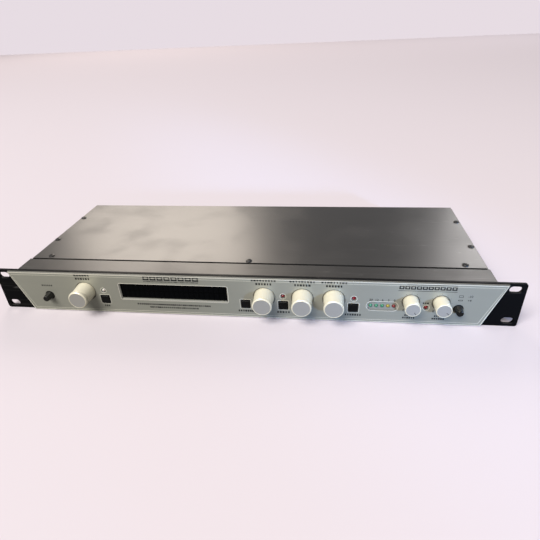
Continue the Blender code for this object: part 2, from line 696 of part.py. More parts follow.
def knob_mesh(name, base, neck, rim, rim_depth, chamfer, front):
    """A hollow knob: hub with a bore, tapering skirt, and a rim at its face."""
    hub = KNOB_BORE + HUB_WALL
    hub_back = -BUSHING_LENGTH - KNOB_FLOAT
    ceiling = front + FACE_WALL
    inside = neck - SKIRT_WALL
    return loft(name, [
        (circle(KNOB_BORE), ceiling + GAP),
        (circle(KNOB_BORE), hub_back),
        (circle(hub), hub_back),
        (circle(hub), ceiling + 0.5 * MM),
        (circle(inside), ceiling + 0.5 * MM),
        (circle(inside), KNOB_BACK),
        (circle(base), KNOB_BACK),
        (circle(base), FASCIA_FRONT),
        (circle(neck), front + rim_depth),
        (circle(rim), front + rim_depth),
        (circle(rim), front + chamfer),
        (circle(rim - chamfer), front),
    ], FINE)


def shaft_mesh(name, front):
    """A control's shaft, with a flat for the knob over the stretch in front of its bushing."""
    flat_back = -BUSHING_LENGTH - KNOB_FLOAT
    back = loft(name, [(circle(SHAFT_RADIUS), SHAFT_IN_BODY), (circle(SHAFT_RADIUS), front)], ROUND)
    bm = bmesh.new()
    bm.from_mesh(back)
    level = SHAFT_RADIUS - SHAFT_FLAT
    geometry = list(bm.verts) + list(bm.edges) + list(bm.faces)
    bmesh.ops.bisect_plane(bm, geom=geometry, plane_co=(0, flat_back, 0), plane_no=(0, 1, 0))
    for vert in bm.verts:
        if vert.co.y < flat_back - GAP:
            vert.co.z = min(vert.co.z, level)
    bpy.data.meshes.remove(back)
    bmesh.ops.remove_doubles(bm, verts=bm.verts, dist=1e-6)
    return mesh_of(bm, name)


def control_body_mesh(name, width, height):
    """An encoder's or a pot's housing with its bushing, and the blind bore that its shaft turns in."""
    body = (width, height, 0.8 * MM)
    return loft(name, [
        (body, FRONT_PARTS_BACK),
        (body, BEHIND_PANEL),
        (circle(BUSHING_RADIUS), BEHIND_PANEL),
        (circle(BUSHING_RADIUS), -BUSHING_LENGTH),
        (circle(BUSHING_BORE), -BUSHING_LENGTH),
        (circle(BUSHING_BORE), SHAFT_IN_BODY + 2 * GAP),
    ], ROUND)


def turning_controls():
    """The knobs, shafts and housings of the four encoders and the two level controls."""
    encoder_knob = knob_mesh(
        "encoder_knob", ENCODER_KNOB_BASE, ENCODER_KNOB_NECK, ENCODER_KNOB_RIM,
        ENCODER_RIM_DEPTH, ENCODER_RIM_CHAMFER, ENCODER_KNOB_FRONT,
    )
    pot_knob = knob_mesh(
        "level_knob", POT_KNOB_BASE, POT_KNOB_NECK, POT_KNOB_RIM,
        POT_RIM_DEPTH, POT_RIM_CHAMFER, POT_KNOB_FRONT,
    )
    encoder_shaft = shaft_mesh("encoder_shaft", ENCODER_KNOB_FRONT + FACE_WALL + 2 * GAP)
    pot_shaft = shaft_mesh("pot_shaft", POT_KNOB_FRONT + FACE_WALL + 2 * GAP)
    encoder_body = control_body_mesh("encoder_body", ENCODER_WIDTH, ENCODER_HEIGHT)
    pot_body = control_body_mesh("pot_body", POT_WIDTH, POT_HEIGHT)
    for name, x, is_pot in controls():
        at = (x, 0, KNOB_CENTRE_Z)
        place(f"{name}_knob", pot_knob if is_pot else encoder_knob, at, "knob_silver", True)
        place(f"{name}_shaft", pot_shaft if is_pot else encoder_shaft, at, "steel")
        housing = f"{name}_pot" if is_pot else f"{name}_encoder"
        place(housing, pot_body if is_pot else encoder_body, at, "bright_metal")


def square_keys():
    """The square keycaps, each with a stem that reaches its switch on the front board."""
    cap = (KEY_SIZE, KEY_SIZE, KEY_CORNER)
    face = (KEY_SIZE - 2 * KEY_EDGE, KEY_SIZE - 2 * KEY_EDGE, KEY_CORNER)
    stem = (KEY_STEM, KEY_STEM, 0.3 * MM)
    stem_end = KEY_SWITCH_FRONT - KEY_TRAVEL - GAP
    front = FASCIA_FRONT - KEY_PROUD
    mesh = loft("keycap", [
        (stem, stem_end), (stem, -KEY_BACK), (cap, -KEY_BACK), (cap, front + KEY_EDGE), (face, front),
    ], TINY)
    for name, x in KEYS.items():
        place(f"{name}_button", mesh, (x, 0, KEY_CENTRE_Z), "black_plastic")


def push_buttons():
    """The tapered round buttons with their plungers, and the latching switches that they work."""
    plunger = (PLUNGER_SIZE, PLUNGER_SIZE, 0.4 * MM)
    tip = FASCIA_FRONT - PUSH_REACH
    cap_back = FASCIA_BACK
    button = loft("push_button", [
        (plunger, PUSH_SWITCH_FRONT + PLUNGER_GRIP),
        (plunger, cap_back),
        (circle(PUSH_BASE_RADIUS), cap_back),
        (circle(PUSH_BASE_RADIUS), FASCIA_FRONT),
        (circle(PUSH_TIP_RADIUS), tip + 0.5 * MM),
        (circle(PUSH_TIP_RADIUS - 0.5 * MM), tip),
    ], ROUND)
    body = (PUSH_SWITCH_SIZE, PUSH_SWITCH_SIZE, 0.5 * MM)
    bore = (PLUNGER_SIZE + 2 * RUNNING, PLUNGER_SIZE + 2 * RUNNING, 0.4 * MM)
    switch = loft("push_switch", [
        (body, PUSH_SWITCH_FRONT + PUSH_SWITCH_DEPTH),
        (body, PUSH_SWITCH_FRONT),
        (bore, PUSH_SWITCH_FRONT),
        (bore, PUSH_SWITCH_FRONT + PLUNGER_GRIP + PUSH_TRAVEL + RUNNING),
    ], TINY)
    for name, x in PUSH_BUTTONS.items():
        place(f"{name}_button", button, (x, 0, PUSH_CENTRE_Z), "black_plastic")
        place(f"{name}_switch", switch, (x, 0, PUSH_CENTRE_Z), "bright_metal")


def lamp_mesh(name):
    """A round-nosed lamp with its flange."""
    dome = [
        (circle(LED_RADIUS * math.cos(angle)), -LED_RADIUS * math.sin(angle))
        for angle in (0.0, math.radians(30), math.radians(60), math.radians(82))
    ]
    nose = FASCIA_FRONT - LED_PROUD + LED_RADIUS
    sections = [(shape, nose + y) for shape, y in dome]
    back = [
        (circle(LED_FLANGE_RADIUS), LAMP_BACK), (circle(LED_FLANGE_RADIUS), BEHIND_PANEL),
        (circle(LED_RADIUS), BEHIND_PANEL),
    ]
    return loft(name, back + sections, TINY)


def lamps():
    """The indicator lamps, standing on their leads in front of the front board."""
    for name, (x, z) in LAMPS.items():
        add_lamp(name, x, z, "lamp_clear" if name == "tap_led" else "lamp_red")
    for i, x in enumerate(meter_places()):
        add_lamp(f"meter_led_{i + 1}", x, METER_Z, METER_FINISHES[i])


def add_lamp(name, x, z, look):
    """One lamp with its two leads joined to it."""
    lamp = place(name, lamp_mesh(name), (x, 0, z), look)
    half = LED_LEAD / 2
    leads = []
    for side in (-1, 1):
        offset = side * LED_LEAD_SPACING / 2
        mesh = box_mesh(
            "lead", (offset - half, LAMP_BACK - LED_LEAD, -half),
            (offset + half, FRONT_PARTS_BACK, half),
        )
        leads.append(tool(mesh, (x, 0, z)))
    return combine(lamp, leads, "UNION")


def meter_led_holder():
    """The block behind the panel that keeps the meter's lamps in line."""
    front = LAMP_BACK + GAP
    length = METER_PITCH * METER_LAMPS
    shape = (length, METER_HOLDER_HEIGHT, 0.5 * MM)
    mesh = loft("meter_led_holder", [(shape, FRONT_PARTS_BACK), (shape, front)], TINY)
    holder = place("meter_led_holder", mesh, (METER_CENTRE_X, 0, METER_Z), "black_plastic")
    width = LED_LEAD_SPACING + LED_LEAD + 2 * GAP
    cuts = [
        block_tool(
            "lead_slot", (x - width / 2, front - THROUGH, METER_Z - LED_LEAD / 2 - GAP),
            (x + width / 2, FRONT_PARTS_BACK + THROUGH, METER_Z + LED_LEAD / 2 + GAP),
        )
        for x in meter_places()
    ]
    return combine(holder, cuts, "DIFFERENCE")


def display():
    """The dark lens in the panel's opening, and the display module behind it."""
    lens = (DISPLAY_WIDTH + 2 * LENS_LIP, DISPLAY_HEIGHT + 2 * LENS_LIP, 0.8 * MM)
    at = (DISPLAY_CENTRE_X, 0, DISPLAY_CENTRE_Z)
    mesh = loft("display_window", [(lens, PANEL_FRONT + LENS_THICK), (lens, PANEL_FRONT)], TINY)
    place("display_window", mesh, at, "lens_black")
    body = (DISPLAY_MODULE_WIDTH, DISPLAY_MODULE_HEIGHT, 0.8 * MM)
    glass = (
        DISPLAY_WIDTH + DISPLAY_GLASS_MARGIN, DISPLAY_HEIGHT + DISPLAY_GLASS_MARGIN / 2, 0.8 * MM
    )
    glass_back = BEHIND_PANEL + DISPLAY_GLASS_DEPTH
    mesh = loft("display_module", [
        (body, FRONT_PARTS_BACK), (body, glass_back), (glass, glass_back), (glass, BEHIND_PANEL),
    ], TINY)
    place("display_module", mesh, at, "black_plastic")


def front_board():
    """The board behind the panel, with the switches that the square keys work soldered to it."""
    mesh = box_mesh(
        "front_board", (-FRONT_BOARD_HALF, FRONT_BOARD_FRONT, FRONT_BOARD_LOW),
        (FRONT_BOARD_HALF, FRONT_BOARD_BACK, FRONT_BOARD_HIGH),
    )
    board = place("front_board", mesh, (0, 0, 0), "board_green")
    half = KEY_SWITCH_SIZE / 2
    switches = [
        block_tool(
            "key_switch", (x - half, KEY_SWITCH_FRONT, KEY_CENTRE_Z - half),
            (x + half, FRONT_BOARD_FRONT + BOARD / 2, KEY_CENTRE_Z + half),
        )
        for x in KEYS.values()
    ]
    return combine(board, switches, "UNION")


def main_board():
    """The large board in the case, with its chips and capacitors soldered to it."""
    mesh = box_mesh(
        "main_board", (-MAIN_BOARD_HALF, MAIN_BOARD_NEAR, MAIN_BOARD_FOOT),
        (MAIN_BOARD_HALF, MAIN_BOARD_FAR, MAIN_BOARD_TOP),
    )
    board = place("main_board", mesh, (0, 0, 0), "board_green")
    rooted = MAIN_BOARD_FOOT + BOARD / 2
    parts = [
        block_tool(
            "chip", (x - width / 2, y - depth / 2, rooted),
            (x + width / 2, y + depth / 2, MAIN_BOARD_TOP + height),
        )
        for x, y, width, depth, height in BOARD_CHIPS
    ]
    for x, y, radius, height in BOARD_CANS:
        can = loft("can", [(circle(radius), 0.0), (circle(radius), -(height + BOARD / 2))], TINY)
        upright = tool(can, (x, y, rooted))
        upright.rotation_euler.x = -math.pi / 2
        parts.append(upright)
    return combine(board, parts, "UNION")


def heat_sink():
    """A finned extrusion that stands on the main board."""
    pitch = (SINK_WIDTH - SINK_FIN) / (SINK_FINS - 1)
    left = -SINK_WIDTH / 2
    profile = [(left, 0, 0), (-left, 0, 0)]
    for i in reversed(range(SINK_FINS)):
        fin = left + pitch * i
        profile.append((fin + SINK_FIN, 0, SINK_HEIGHT))
        profile.append((fin, 0, SINK_HEIGHT))
        if i:
            profile.append((fin, 0, SINK_BASE))
            profile.append((fin - pitch + SINK_FIN, 0, SINK_BASE))
    mesh = extruded("heat_sink", profile, -SINK_LENGTH / 2, SINK_LENGTH / 2, Vector((0, 1, 0)))
    place("heat_sink", mesh, (*SINK_CENTRE, ON_BOARD), "black_paint")


def ribbon_cable():
    """The flat cable from the front board down to the main board, in one quarter bend."""
    start = FRONT_BOARD_BACK + GAP
    end = start + RIBBON_REACH
    bend = RIBBON_REACH - RIBBON_THICK
    centre_z = RIBBON_HIGH - bend
    steps = 8
    outer = [(0, start, RIBBON_HIGH)]
    inner = [(0, start, RIBBON_HIGH - RIBBON_THICK)]
    for i in range(steps + 1):
        angle = math.pi / 2 * (1 - i / steps)
        across, up = math.cos(angle), math.sin(angle)
        outer.append((0, end - bend + bend * across, centre_z + bend * up))
        small = bend - RIBBON_THICK
        inner.append((0, end - bend + small * across, centre_z + small * up))
    outer.append((0, end, ON_BOARD))
    inner.append((0, end - RIBBON_THICK, ON_BOARD))
    profile = outer + inner[::-1]
    half = RIBBON_WIDTH / 2
    mesh = extruded("ribbon_cable", profile, -half, half, Vector((1, 0, 0)))
    place("ribbon_cable", mesh, (RIBBON_CENTRE_X, 0, 0), "grey_cable")


def jacks():
    """The four jack sockets: a housing on the main board and a threaded nose through the rear wall."""
    body = (JACK_BODY_WIDTH, JACK_BODY_HEIGHT, 0.8 * MM)
    nose_end = CASE_BACK + JACK_NOSE_REACH
    mesh = loft("jack", [
        (body, JACK_BODY_BACK - JACK_BODY_DEPTH),
        (body, JACK_BODY_BACK),
        (circle(JACK_NOSE_RADIUS), JACK_BODY_BACK),
        (circle(JACK_NOSE_RADIUS), nose_end),
        (circle(JACK_BORE_RADIUS), nose_end),
        (circle(JACK_BORE_RADIUS), nose_end - JACK_BORE_DEPTH),
    ], ROUND)
    for name, x in JACKS.items():
        place(name, mesh, (x, 0, JACK_CENTRE_Z), "black_plastic")


def midi_places():
    """The places across the rear wall of the two round sockets."""
    return [MIDI_CENTRE_X - MIDI_PITCH / 2, MIDI_CENTRE_X + MIDI_PITCH / 2]


def midi_socket_block():
    """Two five-pin sockets in one housing, each with the round groove that takes a plug's shell."""
    centre_z = ON_BOARD + MIDI_BLOCK_HEIGHT / 2
    mesh = box_mesh(
        "midi_socket_block", (-MIDI_BLOCK_WIDTH / 2, JACK_BODY_BACK - MIDI_BLOCK_DEPTH, ON_BOARD),
        (MIDI_BLOCK_WIDTH / 2, JACK_BODY_BACK, ON_BOARD + MIDI_BLOCK_HEIGHT),
    )
    block = place("midi_socket_block", mesh, (MIDI_CENTRE_X, 0, 0), "black_plastic")
    noses, grooves = [], []
    face = CASE_BACK + GAP
    for x in midi_places():
        nose = loft("midi_nose", [
            (circle(MIDI_NOSE_RADIUS), JACK_BODY_BACK - 2 * SHEET), (circle(MIDI_NOSE_RADIUS), face),
        ], ROUND)
        noses.append(tool(nose, (x, 0, centre_z)))
        groove = loft("midi_groove", [
            (circle(MIDI_GROOVE_INNER), face - MIDI_GROOVE_DEPTH),
            (circle(MIDI_GROOVE_OUTER), face - MIDI_GROOVE_DEPTH),
            (circle(MIDI_GROOVE_OUTER), face + THROUGH),
            (circle(MIDI_GROOVE_INNER), face + THROUGH),
        ], ROUND, ring=True)
        grooves.append(tool(groove, (x, 0, centre_z)))
    combine(block, noses, "UNION")
    return combine(block, grooves, "DIFFERENCE")


def power_jack():
    """The barrel socket for the supply, with its centre pin."""
    body = (POWER_JACK_WIDTH, POWER_JACK_HEIGHT, 0.8 * MM)
    face = CASE_BACK + GAP
    bottom = face - POWER_BORE_DEPTH
    mesh = loft("power_jack", [
        (body, JACK_BODY_BACK - POWER_JACK_DEPTH),
        (body, JACK_BODY_BACK),
        (circle(POWER_NOSE_RADIUS), JACK_BODY_BACK),
        (circle(POWER_NOSE_RADIUS), face),
        (circle(POWER_BORE_RADIUS), face),
        (circle(POWER_BORE_RADIUS), bottom),
        (circle(POWER_PIN_RADIUS), bottom),
        (circle(POWER_PIN_RADIUS), face - SHEET),
    ], ROUND)
    at = (POWER_JACK_X, 0, ON_BOARD + POWER_JACK_HEIGHT / 2)
    place("power_jack", mesh, at, "black_plastic")


def main():
    """Builds the whole unit."""
    clear_scene()
    rack_plane = bpy.data.objects.new("rack_plane", None)
    rack_plane.location.y = RACK_PLANE_Y
    bpy.context.scene.collection.objects.link(rack_plane)
    chassis_tray()
    rear_panel()
    top_cover()
    cover_screws()
    front_panel()
    fascia_plate()
    display()
    turning_controls()
    square_keys()
    push_buttons()
    lamps()
    meter_led_holder()
    front_board()
    main_board()
    heat_sink()
    ribbon_cable()
    jacks()
    midi_socket_block()
    power_jack()


main()
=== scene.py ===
"""The looks of a one-unit rack effects processor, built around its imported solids.

Each sub-assembly is a class with its sizes as fields, each finish is a frozen dataclass, and main()
builds them in order. Sizes are in metres.
"""

from __future__ import annotations

import json
import logging
import math
from dataclasses import dataclass, field
from enum import Enum
from typing import Callable, Iterable, Sequence

import bmesh
import bpy
from mathutils import Matrix, Vector


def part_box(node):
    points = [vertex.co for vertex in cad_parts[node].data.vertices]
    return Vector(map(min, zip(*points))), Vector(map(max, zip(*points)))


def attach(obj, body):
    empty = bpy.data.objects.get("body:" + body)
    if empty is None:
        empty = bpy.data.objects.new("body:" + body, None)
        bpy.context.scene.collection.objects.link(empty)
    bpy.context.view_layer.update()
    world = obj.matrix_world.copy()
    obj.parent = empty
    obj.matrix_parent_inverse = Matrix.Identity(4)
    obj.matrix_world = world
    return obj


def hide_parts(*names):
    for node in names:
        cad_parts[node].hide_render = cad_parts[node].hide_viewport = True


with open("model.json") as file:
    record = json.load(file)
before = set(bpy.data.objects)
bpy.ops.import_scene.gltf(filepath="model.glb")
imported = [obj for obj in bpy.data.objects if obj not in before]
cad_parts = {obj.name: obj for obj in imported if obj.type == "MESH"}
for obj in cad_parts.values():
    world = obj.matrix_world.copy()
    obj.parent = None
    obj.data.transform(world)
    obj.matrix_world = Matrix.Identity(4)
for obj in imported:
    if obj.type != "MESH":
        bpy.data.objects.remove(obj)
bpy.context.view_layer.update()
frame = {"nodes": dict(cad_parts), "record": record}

MM = 0.001
KEY_WELL = 8.8 * MM
KEY_WELL_CORNER = 0.5 * MM
PUSH_WELL = 4.4 * MM
LAMP_WELL = 1.8 * MM
ENDLESS_WELL = 9.7 * MM
LEVEL_WELL = 7.05 * MM
ROOT = "unit"
LOG = logging.getLogger("rack_unit")

Colour = tuple[float, float, float]
Outline = list[tuple[float, float]]
Section = tuple[Outline, float]


# ---------------------------------------------------------------- mesh building


def circle(radius: float, sides: int = 96) -> Outline:
    """Points of a circle.

    Args:
        radius: the circle's radius.
        sides: how many points it has.

    Returns:
        The points as (x, z).
    """
    steps = [math.tau * (i + 0.5) / sides for i in range(sides)]
    return [(radius * math.cos(a), radius * math.sin(a)) for a in steps]


def rounded(width: float, height: float, radius: float, sides: int = 96) -> Outline:
    """Points of a rectangle with round corners.

    Args:
        width: its full width.
        height: its full height.
        radius: the radius of its corners.
        sides: how many points it has.

    Returns:
        The points as (x, z).
    """
    points = []
    for i in range(sides):
        angle = math.tau * (i + 0.5) / sides
        across, up = math.cos(angle), math.sin(angle)
        points.append((
            math.copysign(width / 2 - radius, across) + radius * across,
            math.copysign(height / 2 - radius, up) + radius * up,
        ))
    return points


def closed_mesh(name: str, bm: bmesh.types.BMesh, crease: float = 30.0) -> bpy.types.Mesh:
    """Turns a bmesh into a smooth-shaded mesh with its faces pointing out.

    Args:
        name: the mesh's name.
        bm: the bmesh, which is freed.
        crease: the angle in degrees past which an edge stays sharp.

    Returns:
        The mesh.
    """
    bmesh.ops.recalc_face_normals(bm, faces=bm.faces)
    mesh = bpy.data.meshes.new(name)
    bm.to_mesh(mesh)
    bm.free()
    mesh.shade_smooth()
    mesh.set_sharp_from_angle(angle=math.radians(crease))
    return mesh


def lofted(
    name: str, sections: Sequence[Section], at: Vector, ring: bool = False, crease: float = 30.0
) -> bpy.types.Mesh:
    """A closed mesh through outlines at steps along Y.

    Args:
        name: the mesh's name.
        sections: the outlines, each with its y.
        at: where the sections' own origin lies.
        ring: whether the last section joins the first, in place of two end caps.
        crease: the angle past which an edge stays sharp.

    Returns:
        The mesh.
    """
    bm = bmesh.new()
    loops = [[bm.verts.new(at + Vector((x, y, z))) for x, z in shape] for shape, y in sections]
    pairs = list(zip(loops, loops[1:]))
    if ring:
        pairs.append((loops[-1], loops[0]))
    else:
        bm.faces.new(loops[0])
        bm.faces.new(loops[-1])
    for near, far in pairs:
        for i in range(len(near)):
            after = (i + 1) % len(near)
            bm.faces.new((near[i], near[after], far[after], far[i]))
    return closed_mesh(name, bm, crease)


def turned(
    name: str, profile: Iterable[tuple[float, float]], at: Vector, sides: int = 96, ring: bool = False
) -> bpy.types.Mesh:
    """A piece turned about an axis along Y.

    Args:
        name: the mesh's name.
        profile: its outline as (y, radius), from its back to its front.
        at: the axis' place.
        sides: how many sides it has.
        ring: whether the profile closes on itself, round a hole.

    Returns:
        The mesh.
    """
    return lofted(name, [(circle(radius, sides), y) for y, radius in profile], at, ring)


def softened(profile: Outline, radius: float, steps: int = 4) -> Outline:
    """Rounds the inner corners of a turned profile.

    Args:
        profile: the outline as (y, radius).
        radius: how far from a corner its rounding starts.
        steps: how many points it takes.

    Returns:
        The profile with an arc in place of each corner but the first and last.
    """
    points = [profile[0]]
    for before, corner, after in zip(profile, profile[1:], profile[2:]):
        here = Vector(corner)
        back, ahead = Vector(before) - here, Vector(after) - here
        reach = min(radius, back.length * 0.45, ahead.length * 0.45)
        start, end = here + back.normalized() * reach, here + ahead.normalized() * reach
        for i in range(steps + 1):
            t = i / steps
            point = start * (1 - t) ** 2 + here * 2 * t * (1 - t) + end * t ** 2
            points.append((point.x, point.y))
    points.append(profile[-1])
    return points


def block(name: str, low: Sequence[float], high: Sequence[float]) -> bpy.types.Mesh:
    """A closed block between two corners."""
    bm = bmesh.new()
    bmesh.ops.create_cube(bm, size=1.0)
    low_corner, high_corner = Vector(low), Vector(high)
    for vert in bm.verts:
        for k in range(3):
            vert.co[k] = low_corner[k] + (vert.co[k] + 0.5) * (high_corner[k] - low_corner[k])
    return closed_mesh(name, bm)


def joined(name: str, meshes: Sequence[bpy.types.Mesh]) -> bpy.types.Mesh:
    """One mesh that holds several.

    Args:
        name: the new mesh's name.
        meshes: the meshes, which are removed.

    Returns:
        The joined mesh.
    """
    bm = bmesh.new()
    for mesh in meshes:
        bm.from_mesh(mesh)
        bpy.data.meshes.remove(mesh)
    return closed_mesh(name, bm)


def evaluated(obj: bpy.types.Object, name: str) -> bpy.types.Mesh:
    """The object's mesh with its modifiers worked in; the object itself is removed.

    Args:
        obj: the object.
        name: the new mesh's name.

    Returns:
        The plain mesh.
    """
    bpy.context.view_layer.update()
    graph = bpy.context.evaluated_depsgraph_get()
    mesh = bpy.data.meshes.new_from_object(obj.evaluated_get(graph), depsgraph=graph)
    mesh.name = name
    bpy.data.objects.remove(obj)
    return mesh


def loose(name: str, mesh: bpy.types.Mesh) -> bpy.types.Object:
    """An object for a mesh, linked to the scene and riding on nothing yet."""
    obj = bpy.data.objects.new(name, mesh)
    bpy.context.scene.collection.objects.link(obj)
    return obj


def carved(name: str, body: bpy.types.Mesh, cutters: Sequence[bpy.types.Mesh]) -> bpy.types.Mesh:
    """The body with the cutters taken from it.

    Args:
        name: the new mesh's name.
        body: the mesh that is cut.
        cutters: closed meshes.

    Returns:
        The carved mesh.
    """
    target = loose(name, body)
    group = bpy.data.collections.new(f"{name}_cutters")
    tools = [bpy.data.objects.new(f"{name}_cutter", cutter) for cutter in cutters]
    for tool in tools:
        group.objects.link(tool)
    boolean = target.modifiers.new("cut", "BOOLEAN")
    boolean.operation = "DIFFERENCE"
    boolean.solver = "EXACT"
    boolean.operand_type = "COLLECTION"
    boolean.collection = group
    mesh = evaluated(target, name)
    for tool in tools:
        bpy.data.objects.remove(tool)
    bpy.data.collections.remove(group)
    mesh.shade_smooth()
    mesh.set_sharp_from_angle(angle=math.radians(30))
    return mesh


def eased(name: str, source: bpy.types.Mesh, width: float, segments: int = 3) -> bpy.types.Mesh:
    """A copy of a flat-sided mesh with its edges rounded.

    Args:
        name: the new mesh's name.
        source: the mesh, which is left as it is.
        width: how wide the rounding is.
        segments: how many faces it has.

    Returns:
        The new mesh.
    """
    bm = bmesh.new()
    bm.from_mesh(source)
    bmesh.ops.remove_doubles(bm, verts=bm.verts, dist=2e-6)
    bmesh.ops.dissolve_limit(
        bm, angle_limit=math.radians(1.0), verts=bm.verts, edges=bm.edges, delimit=set()
    )
    copy = loose(name, closed_mesh(name, bm))
    bevel = copy.modifiers.new("ease", "BEVEL")
    bevel.width = width
    bevel.segments = segments
    bevel.limit_method = "ANGLE"
    bevel.angle_limit = math.radians(50)
    bevel.use_clamp_overlap = True
    bevel.harden_normals = True
    mesh = evaluated(copy, name)
    mesh.materials.clear()
    return mesh


def install(
    name: str,
    mesh: bpy.types.Mesh,
    material: bpy.types.Material,
    body: str = ROOT,
    replaces: Sequence[str] = (),
) -> bpy.types.Object:
    """Puts a finished mesh on its body.

    Args:
        name: the piece's name.
        mesh: its mesh, already in place.
        material: what it is made of.
        body: the body that carries it.
        replaces: the solids that it stands for.

    Returns:
        The piece.
    """
    piece = loose(name, mesh)
    mesh.materials.clear()
    mesh.materials.append(material)
    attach(piece, body)
    if replaces:
        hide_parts(*replaces)
    LOG.info("%s: %d faces on %s", name, len(mesh.polygons), body)
    return piece


def centre_of(node: str) -> Vector:
    """The middle of a solid's box."""
    low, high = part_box(node)
    return (low + high) / 2


# ---------------------------------------------------------------- materials


@dataclass
class Shader:
    """A material's node tree with short ways to add to it."""

    material: bpy.types.Material

    @classmethod
    def new(cls, name: str) -> "Shader":
        """An empty material with a Principled BSDF."""
        material = bpy.data.materials.new(name)
        material.use_nodes = True
        return cls(material)

    @property
    def tree(self) -> bpy.types.NodeTree:
        """The material's node tree."""
        return self.material.node_tree

    @property
    def surface(self) -> bpy.types.Node:
        """The material's Principled BSDF."""
        return self.tree.nodes["Principled BSDF"]

    def add(self, kind: str, **values: object) -> bpy.types.Node:
        """Adds a node.

        Args:
            kind: its type.
            values: its properties, or its inputs by name with underscores for spaces.

        Returns:
            The node.
        """
        return add_node(self.tree, kind, **values)

    def link(self, start: bpy.types.NodeSocket, end: bpy.types.NodeSocket) -> None:
        """Links an output to an input."""
        self.tree.links.new(start, end)

    def place(self) -> bpy.types.NodeSocket:
        """The object's own coordinates."""
        return self.add("ShaderNodeTexCoord").outputs["Object"]

    def group(self, tree: bpy.types.NodeTree, **values: float) -> bpy.types.Node:
        """Adds a shared effect.

        Args:
            tree: the node group.
            values: its inputs by name.

        Returns:
            The group's node, with its Vector linked to the object's coordinates.
        """
        node = self.tree.nodes.new("ShaderNodeGroup")
        node.node_tree = tree
        for name, value in values.items():
            node.inputs[name.replace("_", " ")].default_value = value
        self.link(self.place(), node.inputs["Vector"])
        return node

    def blend(
        self, share: bpy.types.NodeSocket, first: Colour | bpy.types.NodeSocket,
        second: Colour | bpy.types.NodeSocket,
    ) -> bpy.types.NodeSocket:
        """Mixes two colours.

        Args:
            share: how much of the second shows.
            first: the colour where the share is 0.
            second: the colour where the share is 1.

        Returns:
            The mixed colour.
        """
        return blend_colours(self.tree, share, first, second)

    def span(self, value: bpy.types.NodeSocket, low: float, high: float) -> bpy.types.NodeSocket:
        """Maps a value from 0 to 1 on to a range."""
        node = self.add("ShaderNodeMapRange")
        node.inputs["To Min"].default_value = low
        node.inputs["To Max"].default_value = high
        self.link(value, node.inputs["Value"])
        return node.outputs["Result"]

    def relief(self, height: bpy.types.NodeSocket, strength: float, distance: float) -> None:
        """Feeds a height to the surface's normal."""
        bump = self.add("ShaderNodeBump")
        bump.inputs["Strength"].default_value = strength
        bump.inputs["Distance"].default_value = distance
        self.link(height, bump.inputs["Height"])
        self.link(bump.outputs["Normal"], self.surface.inputs["Normal"])

    def plain(self, **values: object) -> None:
        """Sets the surface's own sockets."""
        for name, value in values.items():
            self.surface.inputs[name.replace("_", " ")].default_value = value


def add_node(tree: bpy.types.NodeTree, kind: str, **values: object) -> bpy.types.Node:
    """Adds a node to any tree.

    Args:
        tree: the tree.
        kind: the node's type.
        values: its properties, or its inputs by name with underscores for spaces.

    Returns:
        The node.
    """
    node = tree.nodes.new(kind)
    for name, value in values.items():
        if hasattr(node, name):
            setattr(node, name, value)
        else:
            node.inputs[name.replace("_", " ")].default_value = value
    return node


def blend_colours(
    tree: bpy.types.NodeTree, share: bpy.types.NodeSocket, first: object, second: object
) -> bpy.types.NodeSocket:
    """Mixes two colours, each a value or a socket, in any shader tree."""
    mix = tree.nodes.new("ShaderNodeMix")
    mix.data_type = "RGBA"
    tree.links.new(share, mix.inputs["Factor"])
    for given, socket in ((first, mix.inputs[6]), (second, mix.inputs[7])):
        if isinstance(given, bpy.types.NodeSocket):
            tree.links.new(given, socket)
        else:
            socket.default_value = (*given, 1.0)
    return mix.outputs[2]


